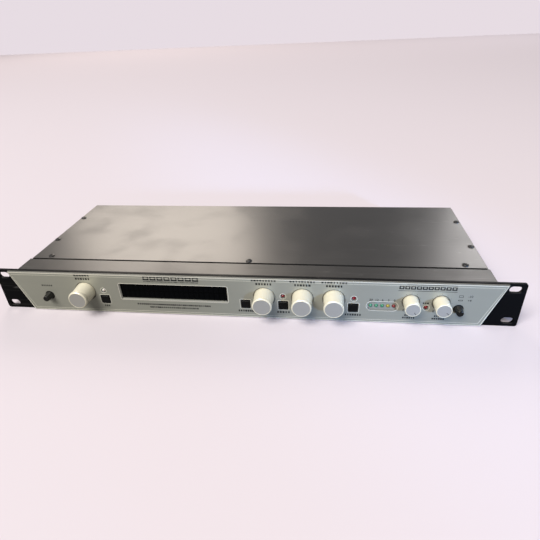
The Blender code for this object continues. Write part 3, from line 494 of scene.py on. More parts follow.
class SharedEffects:
    """Node groups that more than one material uses, each built once."""

    def __init__(self) -> None:
        """Builds the groups."""
        self.grain = self._grain()
        self.handling = self._handling()
        self.brushing = self._brushing()

    @staticmethod
    def _start(name: str, inputs: dict[str, float], outputs: Sequence[str]) -> tuple:
        """Makes an empty group.

        Args:
            name: the group's name.
            inputs: its numbers and their defaults.
            outputs: the names of its outputs.

        Returns:
            The tree, its input node and its output node.
        """
        tree = bpy.data.node_groups.new(name, "ShaderNodeTree")
        tree.interface.new_socket("Vector", in_out="INPUT", socket_type="NodeSocketVector")
        for key, value in inputs.items():
            socket = tree.interface.new_socket(key, in_out="INPUT", socket_type="NodeSocketFloat")
            socket.default_value = value
        for key in outputs:
            tree.interface.new_socket(key, in_out="OUTPUT", socket_type="NodeSocketFloat")
        return tree, tree.nodes.new("NodeGroupInput"), tree.nodes.new("NodeGroupOutput")

    @staticmethod
    def _noise(tree: bpy.types.NodeTree, vector: object, scale: object, detail: float) -> object:
        """A noise texture's value on a vector, with its scale a number or a socket."""
        noise = add_node(tree, "ShaderNodeTexNoise", Detail=detail)
        tree.links.new(vector, noise.inputs["Vector"])
        if isinstance(scale, bpy.types.NodeSocket):
            tree.links.new(scale, noise.inputs["Scale"])
        else:
            noise.inputs["Scale"].default_value = scale
        return noise.outputs["Fac"]

    @staticmethod
    def _window(tree: bpy.types.NodeTree, value: object, low: object, high: float) -> object:
        """Where a value passes from low to high, as 0 to 1."""
        node = add_node(tree, "ShaderNodeMapRange", interpolation_type="SMOOTHSTEP")
        node.inputs["From Max"].default_value = high
        if isinstance(low, bpy.types.NodeSocket):
            tree.links.new(low, node.inputs["From Min"])
        else:
            node.inputs["From Min"].default_value = low
        tree.links.new(value, node.inputs["Value"])
        return node.outputs["Result"]

    def _grain(self) -> bpy.types.NodeTree:
        """The fine orange peel of paint or moulded plastic: Height and Mottle."""
        tree, entry, leave = self._start("surface_grain", {"Scale": 1500.0}, ("Height", "Mottle"))
        vector = entry.outputs["Vector"]
        fine = self._noise(tree, vector, entry.outputs["Scale"], 3.0)
        broad = self._noise(tree, vector, 38.0, 4.0)
        tree.links.new(fine, leave.inputs["Height"])
        tree.links.new(broad, leave.inputs["Mottle"])
        return tree

    def _handling(self) -> bpy.types.NodeTree:
        """What use leaves on a surface: Smudge, Dust and Scratch."""
        tree, entry, leave = self._start(
            "handling_marks", {"Dust Level": 0.72, "Scratch Level": 0.985}, ("Smudge", "Dust", "Scratch")
        )
        vector = entry.outputs["Vector"]
        smudge = self._window(tree, self._noise(tree, vector, 21.0, 5.0), 0.46, 0.72)
        specks = add_node(tree, "ShaderNodeTexVoronoi", Scale=420.0)
        tree.links.new(vector, specks.inputs["Vector"])
        near = self._window(tree, specks.outputs["Distance"], 0.16, 0.02)
        cloud = self._noise(tree, vector, 260.0, 2.0)
        where = self._window(tree, cloud, entry.outputs["Dust Level"], 0.80)
        dust = add_node(tree, "ShaderNodeMath", operation="MULTIPLY")
        tree.links.new(near, dust.inputs[0])
        tree.links.new(where, dust.inputs[1])
        turn = add_node(tree, "ShaderNodeMapping")
        turn.inputs["Rotation"].default_value = (0.0, 0.0, 0.9)
        turn.inputs["Scale"].default_value = (0.4, 9.0, 9.0)
        tree.links.new(vector, turn.inputs["Vector"])
        lines = self._noise(tree, turn.outputs["Vector"], 17.0, 1.0)
        ridge = add_node(tree, "ShaderNodeMath", operation="PINGPONG")
        ridge.inputs[1].default_value = 0.5
        tree.links.new(lines, ridge.inputs[0])
        top = add_node(tree, "ShaderNodeMath", operation="MULTIPLY")
        top.inputs[1].default_value = 2.0
        tree.links.new(ridge.outputs[0], top.inputs[0])
        scratch = self._window(tree, top.outputs[0], entry.outputs["Scratch Level"], 1.0)
        patch = self._window(tree, self._noise(tree, vector, 9.0, 1.0), 0.5, 0.62)
        both = add_node(tree, "ShaderNodeMath", operation="MULTIPLY")
        tree.links.new(scratch, both.inputs[0])
        tree.links.new(patch, both.inputs[1])
        tree.links.new(smudge, leave.inputs["Smudge"])
        tree.links.new(dust.outputs[0], leave.inputs["Dust"])
        tree.links.new(both.outputs[0], leave.inputs["Scratch"])
        return tree

    def _brushing(self) -> bpy.types.NodeTree:
        """The fine lines of brushed metal along X: Height and Streak."""
        tree, entry, leave = self._start("metal_brushing", {"Fineness": 900.0}, ("Height", "Streak"))
        stretch = add_node(tree, "ShaderNodeMapping")
        stretch.inputs["Scale"].default_value = (0.02, 1.0, 1.0)
        tree.links.new(entry.outputs["Vector"], stretch.inputs["Vector"])
        lines = self._noise(tree, stretch.outputs["Vector"], entry.outputs["Fineness"], 3.0)
        streak = self._noise(tree, stretch.outputs["Vector"], 160.0, 4.0)
        tree.links.new(lines, leave.inputs["Height"])
        tree.links.new(streak, leave.inputs["Streak"])
        return tree


@dataclass(frozen=True)
class PaintFinish:
    """Sprayed paint on sheet metal, with what handling leaves on it."""

    name: str
    colour: Colour
    roughness: float
    grain: float = 1400.0
    relief: float = 0.00002
    dust: float = 0.5
    specular: float = 0.5
    worn: Colour = (0.12, 0.115, 0.11)

    def build(self, effects: SharedEffects) -> bpy.types.Material:
        """Makes the material.

        Args:
            effects: the shared node groups.

        Returns:
            The material.
        """
        shader = Shader.new(self.name)
        grain = shader.group(effects.grain, Scale=self.grain)
        marks = shader.group(effects.handling)
        pale = tuple(min(1.0, c * 1.35) for c in self.colour)
        base = shader.blend(grain.outputs["Mottle"], self.colour, pale)
        worn = shader.span(marks.outputs["Scratch"], 0.0, 0.45)
        scratched = shader.blend(worn, base, self.worn)
        faint = shader.span(marks.outputs["Dust"], 0.0, self.dust)
        dusty = shader.blend(faint, scratched, (0.55, 0.53, 0.50))
        shader.link(dusty, shader.surface.inputs["Base Color"])
        rough = shader.span(marks.outputs["Smudge"], self.roughness, self.roughness + 0.07)
        shader.link(rough, shader.surface.inputs["Roughness"])
        shader.relief(grain.outputs["Height"], 0.35, self.relief)
        shader.plain(Specular_IOR_Level=self.specular)
        return shader.material


@dataclass(frozen=True)
class MetalFinish:
    """Satin or bright metal with a brushed or blasted surface."""

    name: str
    colour: Colour
    roughness: float
    metallic: float = 1.0
    fineness: float = 900.0
    relief: float = 0.000004
    streak: float = 0.06

    def build(self, effects: SharedEffects) -> bpy.types.Material:
        """Makes the material.

        Args:
            effects: the shared node groups.

        Returns:
            The material.
        """
        shader = Shader.new(self.name)
        brushing = shader.group(effects.brushing, Fineness=self.fineness)
        marks = shader.group(effects.handling)
        dark = tuple(c * (1 - self.streak) for c in self.colour)
        light = tuple(min(1.0, c * (1 + self.streak)) for c in self.colour)
        base = shader.blend(brushing.outputs["Streak"], dark, light)
        faint = shader.span(marks.outputs["Scratch"], 0.0, 0.4)
        shader.link(shader.blend(faint, base, dark), shader.surface.inputs["Base Color"])
        rough = shader.span(marks.outputs["Smudge"], self.roughness, self.roughness + 0.09)
        shader.link(rough, shader.surface.inputs["Roughness"])
        shader.relief(brushing.outputs["Height"], 0.4, self.relief)
        shader.plain(Metallic=self.metallic)
        return shader.material


@dataclass(frozen=True)
class PlasticFinish:
    """Moulded or painted plastic."""

    name: str
    colour: Colour
    roughness: float
    metallic: float = 0.0
    grain: float = 2600.0
    relief: float = 0.000006
    coat: float = 0.0
    specular: float = 0.5

    def build(self, effects: SharedEffects) -> bpy.types.Material:
        """Makes the material.

        Args:
            effects: the shared node groups.

        Returns:
            The material.
        """
        shader = Shader.new(self.name)
        grain = shader.group(effects.grain, Scale=self.grain)
        marks = shader.group(effects.handling)
        shade = tuple(c * 0.93 for c in self.colour)
        base = shader.blend(grain.outputs["Mottle"], shade, self.colour)
        soiled = tuple(c * 0.78 + 0.004 for c in self.colour)
        faint = shader.span(marks.outputs["Smudge"], 0.0, 0.22)
        shader.link(shader.blend(faint, base, soiled), shader.surface.inputs["Base Color"])
        rough = shader.span(grain.outputs["Mottle"], self.roughness - 0.03, self.roughness + 0.06)
        shader.link(rough, shader.surface.inputs["Roughness"])
        shader.relief(grain.outputs["Height"], 0.3, self.relief)
        shader.plain(
            Metallic=self.metallic, Coat_Weight=self.coat, Coat_Roughness=0.12,
            Specular_IOR_Level=self.specular,
        )
        return shader.material


@dataclass(frozen=True)
class LampFinish:
    """The tinted epoxy of a lamp, a little lighter where it is thin."""

    name: str
    colour: Colour
    glow: float = 0.0

    def build(self, effects: SharedEffects) -> bpy.types.Material:
        """Makes the material.

        Args:
            effects: the shared node groups.

        Returns:
            The material.
        """
        shader = Shader.new(self.name)
        grain = shader.group(effects.grain, Scale=900.0)
        deep = tuple(c * 0.62 for c in self.colour)
        colour = shader.blend(grain.outputs["Mottle"], deep, self.colour)
        shader.link(colour, shader.surface.inputs["Base Color"])
        shader.link(colour, shader.surface.inputs["Emission Color"])
        shader.plain(
            Roughness=0.14, Emission_Strength=self.glow, Subsurface_Weight=0.25,
            Coat_Weight=0.6, Coat_Roughness=0.05,
        )
        shader.surface.inputs["Subsurface Scale"].default_value = 0.001
        return shader.material


@dataclass(frozen=True)
class DisplayFinish:
    """A smoked lens with the cells of the display faintly showing through it."""

    name: str
    colour: Colour
    cell: Colour
    cells: int
    width: float
    height: float
    centre: Vector

    def build(self, effects: SharedEffects) -> bpy.types.Material:
        """Makes the material.

        Args:
            effects: the shared node groups.

        Returns:
            The material.
        """
        shader = Shader.new(self.name)
        mapping = shader.add("ShaderNodeMapping")
        mapping.inputs["Location"].default_value = (-self.centre.x, -self.centre.z, 0.0)
        flat = shader.add("ShaderNodeSeparateXYZ")
        shader.link(shader.place(), flat.inputs[0])
        plane = shader.add("ShaderNodeCombineXYZ")
        shader.link(flat.outputs["X"], plane.inputs["X"])
        shader.link(flat.outputs["Z"], plane.inputs["Y"])
        shader.link(plane.outputs[0], mapping.inputs["Vector"])
        bricks = shader.add("ShaderNodeTexBrick", offset=0.0)
        bricks.inputs["Scale"].default_value = 1.0
        bricks.inputs["Mortar Size"].default_value = 0.0007
        bricks.inputs["Mortar Smooth"].default_value = 0.3
        bricks.inputs["Brick Width"].default_value = self.width / self.cells
        bricks.inputs["Row Height"].default_value = self.height
        bricks.inputs["Color1"].default_value = (*self.cell, 1.0)
        bricks.inputs["Color2"].default_value = (*self.cell, 1.0)
        bricks.inputs["Mortar"].default_value = (*self.colour, 1.0)
        shader.link(mapping.outputs["Vector"], bricks.inputs["Vector"])
        marks = shader.group(effects.handling)
        dusty = shader.span(marks.outputs["Dust"], 0.0, 0.25)
        base = shader.blend(dusty, bricks.outputs["Color"], (0.4, 0.38, 0.36))
        shader.link(base, shader.surface.inputs["Base Color"])
        rough = shader.span(marks.outputs["Smudge"], 0.10, 0.20)
        shader.link(rough, shader.surface.inputs["Roughness"])
        shader.plain(Specular_IOR_Level=0.06)
        return shader.material


@dataclass(frozen=True)
class BoardFinish:
    """A circuit board's solder mask, with its copper tracks under it."""

    name: str
    mask: Colour
    track: Colour

    def build(self, effects: SharedEffects) -> bpy.types.Material:
        """Makes the material.

        Args:
            effects: the shared node groups.

        Returns:
            The material.
        """
        shader = Shader.new(self.name)
        tracks = shader.add("ShaderNodeTexBrick", offset=0.35)
        tracks.inputs["Scale"].default_value = 120.0
        tracks.inputs["Mortar Size"].default_value = 0.06
        tracks.inputs["Color1"].default_value = (*self.mask, 1.0)
        tracks.inputs["Color2"].default_value = (*(c * 0.8 for c in self.mask), 1.0)
        tracks.inputs["Mortar"].default_value = (*self.track, 1.0)
        shader.link(shader.place(), tracks.inputs["Vector"])
        grain = shader.group(effects.grain, Scale=1200.0)
        shader.link(tracks.outputs["Color"], shader.surface.inputs["Base Color"])
        shader.link(shader.span(grain.outputs["Mottle"], 0.3, 0.5), shader.surface.inputs["Roughness"])
        shader.relief(tracks.outputs["Fac"], 0.5, 0.00003)
        return shader.material


@dataclass(frozen=True)
class CableFinish:
    """A flat cable: parallel insulated wires side by side, with painted shade in the grooves between them.
    """

    name: str
    colour: Colour
    pitch: float

    def build(self, effects: SharedEffects) -> bpy.types.Material:
        """Makes the material.

        Args:
            effects: the shared node groups.

        Returns:
            The material.
        """
        shader = Shader.new(self.name)
        wires = shader.add("ShaderNodeTexWave", bands_direction="X", wave_profile="SIN")
        wires.inputs["Scale"].default_value = 0.314 / self.pitch
        shader.link(shader.place(), wires.inputs["Vector"])
        # The grooves between the wires are painted darker: painted shade.
        groove = tuple(c * 0.45 for c in self.colour)
        shader.link(
            shader.blend(wires.outputs["Fac"], groove, self.colour), shader.surface.inputs["Base Color"]
        )
        grain = shader.group(effects.grain, Scale=1800.0)
        shader.link(shader.span(grain.outputs["Mottle"], 0.5, 0.65), shader.surface.inputs["Roughness"])
        shader.relief(wires.outputs["Fac"], 0.6, 0.0003)
        return shader.material


class Finish(Enum):
    """The unit's finishes by what they cover."""

    CASE = PaintFinish("case_charcoal", (0.024, 0.022, 0.020), 0.29, relief=0.00003, specular=1.0)
    TRAY = PaintFinish("tray_charcoal", (0.026, 0.024, 0.022), 0.33, relief=0.00003, specular=0.75)
    # Matt black strip in the cover's front seam: a painted shade for the gap.
    SEAM_SHADE = PaintFinish("seam_painted_shade", (0.004, 0.004, 0.004), 0.9, relief=0.00002, dust=0.2, specular=0.1)
    EAR = PaintFinish("ear_black", (0.0018, 0.0018, 0.0024), 0.42, relief=0.00002, dust=0.2, specular=0.12)
    FASCIA = MetalFinish("fascia_satin", (0.405, 0.405, 0.35), 0.40, metallic=0.40, streak=0.04)
    # Brighter cut metal on the plate's slanted faces: partly real cut metal, partly a painted highlight.
    CUT_EDGE_AND_HIGHLIGHT = MetalFinish("fascia_cut_edge_and_highlight", (0.46, 0.45, 0.40), 0.42, metallic=0.30, streak=0.03)
    # Darker finish on the plate's upward faces: painted shade.
    TOP_PAINTED_SHADE = MetalFinish("fascia_top_painted_shade", (0.15, 0.148, 0.13), 0.5, metallic=0.20, streak=0.03)
    # Bright cream for the fascia's fine lines and lips; the lips and the line at the plate's edge are
    # painted highlights.
    LINE_AND_HIGHLIGHT = MetalFinish("fascia_line_and_highlight", (0.90, 0.87, 0.76), 0.40, metallic=0.15, streak=0.03)
    KNOB = PlasticFinish("knob_cream_silver", (0.92, 0.865, 0.69), 0.38, metallic=0.10, coat=0.15)
    KNOB_FACE = MetalFinish("knob_face_silver", (0.53, 0.52, 0.495), 0.38, metallic=0.45, streak=0.02)
    BLACK = PlasticFinish("black_moulding", (0.0045, 0.0045, 0.005), 0.26, relief=0.000004, specular=0.22)
    PUSH = PlasticFinish("push_black", (0.007, 0.0065, 0.006), 0.24, relief=0.000004, specular=0.45)
    SCREW = MetalFinish("screw_black_zinc", (0.085, 0.083, 0.082), 0.34, metallic=0.9)
    STEEL = MetalFinish("turned_steel", (0.58, 0.58, 0.59), 0.28)
    TIN = MetalFinish("plated_tin", (0.70, 0.70, 0.69), 0.34, streak=0.10)
    # Black print ink, also used for the painted shadow rings round the knobs' wells.
    INK_AND_SHADOW = PlasticFinish("print_ink_and_painted_shadow", (0.009, 0.009, 0.010), 0.55, relief=0.000001)
    POINTER = PlasticFinish("pointer_fill", (0.16, 0.155, 0.15), 0.5)
    BOARD = BoardFinish("solder_mask", (0.012, 0.10, 0.045), (0.03, 0.22, 0.09))
    CABLE = CableFinish("flat_cable", (0.36, 0.37, 0.38), 1.27 * MM)
    RED = LampFinish("lamp_red", (0.25, 0.010, 0.016))
    GREEN = LampFinish("lamp_green", (0.06, 0.30, 0.17))
    YELLOW = LampFinish("lamp_yellow", (0.46, 0.36, 0.05))
    CLEAR = LampFinish("lamp_clear", (0.84, 0.84, 0.78))


@dataclass
class Palette:
    """The materials, made when first asked for."""

    effects: SharedEffects = field(default_factory=SharedEffects)
    made: dict[str, bpy.types.Material] = field(default_factory=dict)

    def of(self, finish: Finish) -> bpy.types.Material:
        """The material of a finish."""
        return self.custom(finish.value)

    def custom(self, recipe: object) -> bpy.types.Material:
        """The material of a finish that is worked out from the frame."""
        if recipe.name not in self.made:
            self.made[recipe.name] = recipe.build(self.effects)
        return self.made[recipe.name]


# ---------------------------------------------------------------- geometry nodes


@dataclass
class NodeTool:
    """A geometry node tree with named inputs, worked into a plain mesh."""

    name: str
    inputs: dict[str, str]
    grow: Callable[["NodeTool"], bpy.types.NodeSocket]

    def __post_init__(self) -> None:
        """Builds the tree, which ends in Realize Instances and Set Material."""
        self.tree = bpy.data.node_groups.new(self.name, "GeometryNodeTree")
        geometry = "NodeSocketGeometry"
        self.tree.interface.new_socket("Geometry", in_out="INPUT", socket_type=geometry)
        for key, kind in self.inputs.items():
            self.tree.interface.new_socket(key, in_out="INPUT", socket_type=kind)
        self.tree.interface.new_socket("Material", in_out="INPUT", socket_type="NodeSocketMaterial")
        self.tree.interface.new_socket("Geometry", in_out="OUTPUT", socket_type=geometry)
        self.entry = self.tree.nodes.new("NodeGroupInput")
        leave = self.tree.nodes.new("NodeGroupOutput")
        real = self.tree.nodes.new("GeometryNodeRealizeInstances")
        dress = self.tree.nodes.new("GeometryNodeSetMaterial")
        self.link(self.grow(self), real.inputs[0])
        self.link(real.outputs[0], dress.inputs["Geometry"])
        self.link(self.entry.outputs["Material"], dress.inputs["Material"])
        self.link(dress.outputs[0], leave.inputs[0])

    def add(self, kind: str, **values: object) -> bpy.types.Node:
        """Adds a node, with its properties or inputs."""
        return add_node(self.tree, kind, **values)

    def link(self, start: bpy.types.NodeSocket, end: bpy.types.NodeSocket) -> None:
        """Links an output to an input."""
        self.tree.links.new(start, end)

    def math(self, operation: str, first: object, second: object) -> bpy.types.NodeSocket:
        """A sum of two values, each a number or a socket.

        Args:
            operation: the Math node's operation.
            first: its first value.
            second: its second value.

        Returns:
            The result.
        """
        node = self.add("ShaderNodeMath", operation=operation)
        for given, socket in zip((first, second), node.inputs):
            if isinstance(given, bpy.types.NodeSocket):
                self.link(given, socket)
            else:
                socket.default_value = given
        return node.outputs[0]

    def run(
        self, name: str, material: bpy.types.Material, carrier: bpy.types.Mesh | None = None,
        **values: object,
    ) -> bpy.types.Mesh:
        """Works the tree on a mesh.

        Args:
            name: the new mesh's name.
            material: what the result is made of.
            carrier: the mesh that the tree starts from.
            values: the tree's inputs, with underscores for spaces.

        Returns:
            The plain mesh.
        """
        holder = loose(name, carrier or bpy.data.meshes.new(name))
        modifier = holder.modifiers.new(self.name, "NODES")
        modifier.node_group = self.tree
        keys = {
            item.name: item.identifier
            for item in self.tree.interface.items_tree
            if item.item_type == "SOCKET" and item.in_out == "INPUT"
        }
        modifier[keys["Material"]] = material
        for key, value in values.items():
            modifier[keys[key.replace("_", " ")]] = value
        mesh = evaluated(holder, name)
        mesh.shade_smooth()
        mesh.set_sharp_from_angle(angle=math.radians(30))
        return mesh


def grow_copies(tool: NodeTool) -> bpy.types.NodeSocket:
    """Puts the Unit on each point of the carrier, turned about Turn Axis by a seeded amount."""
    info = tool.add("GeometryNodeObjectInfo")
    tool.link(tool.entry.outputs["Unit"], info.inputs["Object"])
    turn = tool.add("FunctionNodeRandomValue", data_type="FLOAT")
    tool.link(tool.entry.outputs["Turn"], turn.inputs[3])
    tool.link(tool.entry.outputs["Seed"], turn.inputs["Seed"])
    axis = tool.add("ShaderNodeVectorMath", operation="SCALE")
    tool.link(tool.entry.outputs["Turn Axis"], axis.inputs[0])
    tool.link(turn.outputs[1], axis.inputs["Scale"])
    spread = tool.add("GeometryNodeInstanceOnPoints")
    tool.link(tool.entry.outputs["Geometry"], spread.inputs["Points"])
    tool.link(info.outputs["Geometry"], spread.inputs["Instance"])
    tool.link(axis.outputs[0], spread.inputs["Rotation"])
    return spread.outputs[0]


def grow_ticks(tool: NodeTool) -> bpy.types.NodeSocket:
    """Lays Count short bars round Centre, from Start over Sweep, clockwise from the top."""
    entry = tool.entry.outputs
    points = tool.add("GeometryNodePoints")
    tool.link(entry["Count"], points.inputs["Count"])
    index = tool.add("GeometryNodeInputIndex").outputs[0]
    share = tool.math("DIVIDE", index, tool.math("SUBTRACT", entry["Count"], 1.0))
    angle = tool.math("ADD", entry["Start"], tool.math("MULTIPLY", share, entry["Sweep"]))
    ring = tool.add("ShaderNodeCombineXYZ")
    tool.link(tool.math("MULTIPLY", tool.math("SINE", angle, 0.0), entry["Radius"]), ring.inputs["X"])
    tool.link(tool.math("MULTIPLY", tool.math("COSINE", angle, 0.0), entry["Radius"]), ring.inputs["Z"])
    place = tool.add("ShaderNodeVectorMath", operation="ADD")
    tool.link(ring.outputs[0], place.inputs[0])
    tool.link(entry["Centre"], place.inputs[1])
    moved = tool.add("GeometryNodeSetPosition")
    tool.link(points.outputs[0], moved.inputs["Geometry"])
    tool.link(place.outputs[0], moved.inputs["Position"])
    bar = tool.add("GeometryNodeMeshCube")
    tool.link(entry["Bar"], bar.inputs["Size"])
    turn = tool.add("ShaderNodeCombineXYZ")
    tool.link(angle, turn.inputs["Y"])
    spread = tool.add("GeometryNodeInstanceOnPoints")
    tool.link(moved.outputs[0], spread.inputs["Points"])
    tool.link(bar.outputs["Mesh"], spread.inputs["Instance"])
    tool.link(turn.outputs[0], spread.inputs["Rotation"])
    return spread.outputs[0]


def grow_dashes(tool: NodeTool) -> bpy.types.NodeSocket:
    """Lays Count dashes of seeded lengths along X, centred on Centre."""
    entry = tool.entry.outputs
    points = tool.add("GeometryNodePoints")
    tool.link(entry["Count"], points.inputs["Count"])
    index = tool.add("GeometryNodeInputIndex").outputs[0]
    middle = tool.math("MULTIPLY", tool.math("SUBTRACT", entry["Count"], 1.0), 0.5)
    step = tool.math("MULTIPLY", tool.math("SUBTRACT", index, middle), entry["Pitch"])
    row = tool.add("ShaderNodeCombineXYZ")
    tool.link(step, row.inputs["X"])
    place = tool.add("ShaderNodeVectorMath", operation="ADD")
    tool.link(row.outputs[0], place.inputs[0])
    tool.link(entry["Centre"], place.inputs[1])
    moved = tool.add("GeometryNodeSetPosition")
    tool.link(points.outputs[0], moved.inputs["Geometry"])
    tool.link(place.outputs[0], moved.inputs["Position"])
    bar = tool.add("GeometryNodeMeshCube")
    tool.link(entry["Bar"], bar.inputs["Size"])
    length = tool.add("FunctionNodeRandomValue", data_type="FLOAT")
    length.inputs[2].default_value = 0.45
    length.inputs[3].default_value = 0.85
    tool.link(entry["Seed"], length.inputs["Seed"])
    size = tool.add("ShaderNodeCombineXYZ", Y=1.0, Z=1.0)
    tool.link(length.outputs[1], size.inputs["X"])
    spread = tool.add("GeometryNodeInstanceOnPoints")
    tool.link(moved.outputs[0], spread.inputs["Points"])
    tool.link(bar.outputs["Mesh"], spread.inputs["Instance"])
    tool.link(size.outputs[0], spread.inputs["Scale"])
    return spread.outputs[0]


class NodeTools:
    """The geometry node trees, each built once."""

    def __init__(self) -> None:
        """Builds the trees."""
        number, whole, vector = "NodeSocketFloat", "NodeSocketInt", "NodeSocketVector"
        self.copies = NodeTool(
            "copies_on_points",
            {"Unit": "NodeSocketObject", "Turn": number, "Turn Axis": vector, "Seed": whole},
            grow_copies,
        )
        self.ticks = NodeTool(
            "dial_ticks",
            {"Count": whole, "Radius": number, "Start": number, "Sweep": number,
             "Bar": vector, "Centre": vector},
            grow_ticks,
        )
        self.dashes = NodeTool(
            "printed_dashes",
            {"Count": whole, "Pitch": number, "Bar": vector, "Centre": vector, "Seed": whole},
            grow_dashes,
        )

    def repeat(
        self, name: str, unit: bpy.types.Mesh, places: Sequence[Vector], material: bpy.types.Material,
        axis: Vector, turn: float = 0.0, seed: int = 1,
    ) -> bpy.types.Mesh:
        """Copies one mesh to several places.

        Args:
            name: the result's name.
            unit: the mesh that is copied.
            places: where each copy goes.
            material: what they are made of.
            axis: the axis that each is turned about.
            turn: the most that one is turned.
            seed: what the turns follow.

        Returns:
            One mesh with every copy.
        """
        carrier = bpy.data.meshes.new(f"{name}_points")
        carrier.from_pydata([tuple(place) for place in places], [], [])
        source = loose(f"{name}_unit", unit)
        mesh = self.copies.run(
            name, material, carrier, Unit=source, Turn=turn, Turn_Axis=tuple(axis), Seed=seed
        )
        bpy.data.objects.remove(source)
        return mesh


# ---------------------------------------------------------------- the unit's sub-assemblies


@dataclass
class Workshop:
    """What each sub-assembly builds with."""

    palette: Palette
    tools: NodeTools


def rack_slots() -> list[Vector]:
    """The middles of the four rack slots, from the record's stated openings."""
    found = []
    for opening in frame["record"]["physics"]["openings"]:
        if opening["name"].startswith("rack_slot"):
            low, high = opening["box_m"]
            found.append((Vector(low) + Vector(high)) / 2)
    return found


@dataclass
class FrontPanel:
    """The black 19-inch panel behind the fascia."""

    corner: float = 2.2 * MM
    edge: float = 0.35 * MM
    slot_length: float = 10.3 * MM
    slot_width: float = 6.4 * MM
    margin: float = 5.0 * MM

    def build(self, shop: Workshop) -> None:
        """Builds the panel with its slots and openings.

        Args:
            shop: the materials and node trees.
        """
        low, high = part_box("front_panel")
        middle, size = (low + high) / 2, high - low
        at = Vector((middle.x, 0.0, middle.z))
        small = rounded(size.x - 2 * self.edge, size.z - 2 * self.edge, self.corner - self.edge)
        full = rounded(size.x, size.z, self.corner)
        slab = lofted("front_panel_slab", [
            (small, high.y), (full, high.y - self.edge), (full, low.y + self.edge), (small, low.y),
        ], at)
        mesh = carved("front_panel_piece", slab, self.cutters(low.y, high.y))
        black = shop.palette.of(Finish.EAR)
        install("front_panel_piece", mesh, black, ROOT, ["front_panel"])

    def cutters(self, front: float, back: float) -> list[bpy.types.Mesh]:
        """The cutters for all openings.

        Args:
            front: the y of the panel's front face.
            back: the y of its back face.

        Returns:
            Closed meshes.
        """
        made = []
        for slot in rack_slots():
            flare = self.edge
            plain = rounded(self.slot_length, self.slot_width, self.slot_width / 2 - 1e-5)
            wide = rounded(
                self.slot_length + 2 * flare, self.slot_width + 2 * flare,
                self.slot_width / 2 + flare - 1e-5,
            )
            made.append(lofted("slot", [
                (wide, back + self.margin), (wide, back), (plain, back - flare),
                (plain, front + flare), (wide, front), (wide, front - self.margin),
            ], Vector((slot.x, 0.0, slot.z))))
        for control in CONTROLS:
            made.append(through("bushing", circle(4.9 * MM, 48), centre_of(control.knob), front, back))
        for key in KEYS:
            shape = rounded(KEY_WELL, KEY_WELL, KEY_WELL_CORNER, 32)
            made.append(through("key", shape, centre_of(key), front, back))
        for push in PUSHES:
            made.append(through("push", circle(PUSH_WELL, 48), centre_of(push), front, back))
        for lamp in LAMPS:
            made.append(through("lamp", circle(LAMP_WELL, 32), centre_of(lamp), front, back))
        low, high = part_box("display_window")
        window = rounded(high.x - low.x + 0.6 * MM, high.z - low.z + 0.6 * MM, 1.0 * MM, 32)
        made.append(through("window", window, (low + high) / 2, front, back))
        return made


def through(name: str, shape: Outline, centre: Vector, front: float, back: float) -> bpy.types.Mesh:
    """A straight cutter along Y through a plate.

    Args:
        name: its name.
        shape: its outline.
        centre: a point on its axis.
        front: the y of the plate's front.
        back: the y of the plate's back.

    Returns:
        The cutter.
    """
    margin = 5.0 * MM
    at = Vector((centre.x, 0.0, centre.z))
    return lofted(name, [(shape, back + margin), (shape, front - margin)], at)


class KnobStyle(Enum):
    """The two sizes of knob."""

    ENDLESS = "endless"
    LEVEL = "level"


@dataclass(frozen=True)
class Control:
    """One turning control."""

    name: str
    style: KnobStyle
    pointer: float = 0.0

    @property
    def knob(self) -> str:
        """The knob's solid."""
        return f"{self.name}_knob"

    @property
    def body(self) -> str:
        """The body that turns."""
        return f"{self.name}_control"


CONTROLS = (
    Control("preset", KnobStyle.ENDLESS),
    Control("adjust", KnobStyle.ENDLESS),
    Control("select", KnobStyle.ENDLESS),
    Control("function", KnobStyle.ENDLESS),
    Control("input_level", KnobStyle.LEVEL, 150.0),
    Control("output_level", KnobStyle.LEVEL, 127.0),
)
KEYS = ("tap_button", "compare_button", "store_button", "bypass_button")
PUSHES = ("power_button", "range_button")
SINGLE_LAMPS = ("tap_led", "store_led", "bypass_led", "clip_led")
METER_LAMPS = tuple(f"meter_led_{i + 1}" for i in range(5))
LAMPS = SINGLE_LAMPS + METER_LAMPS


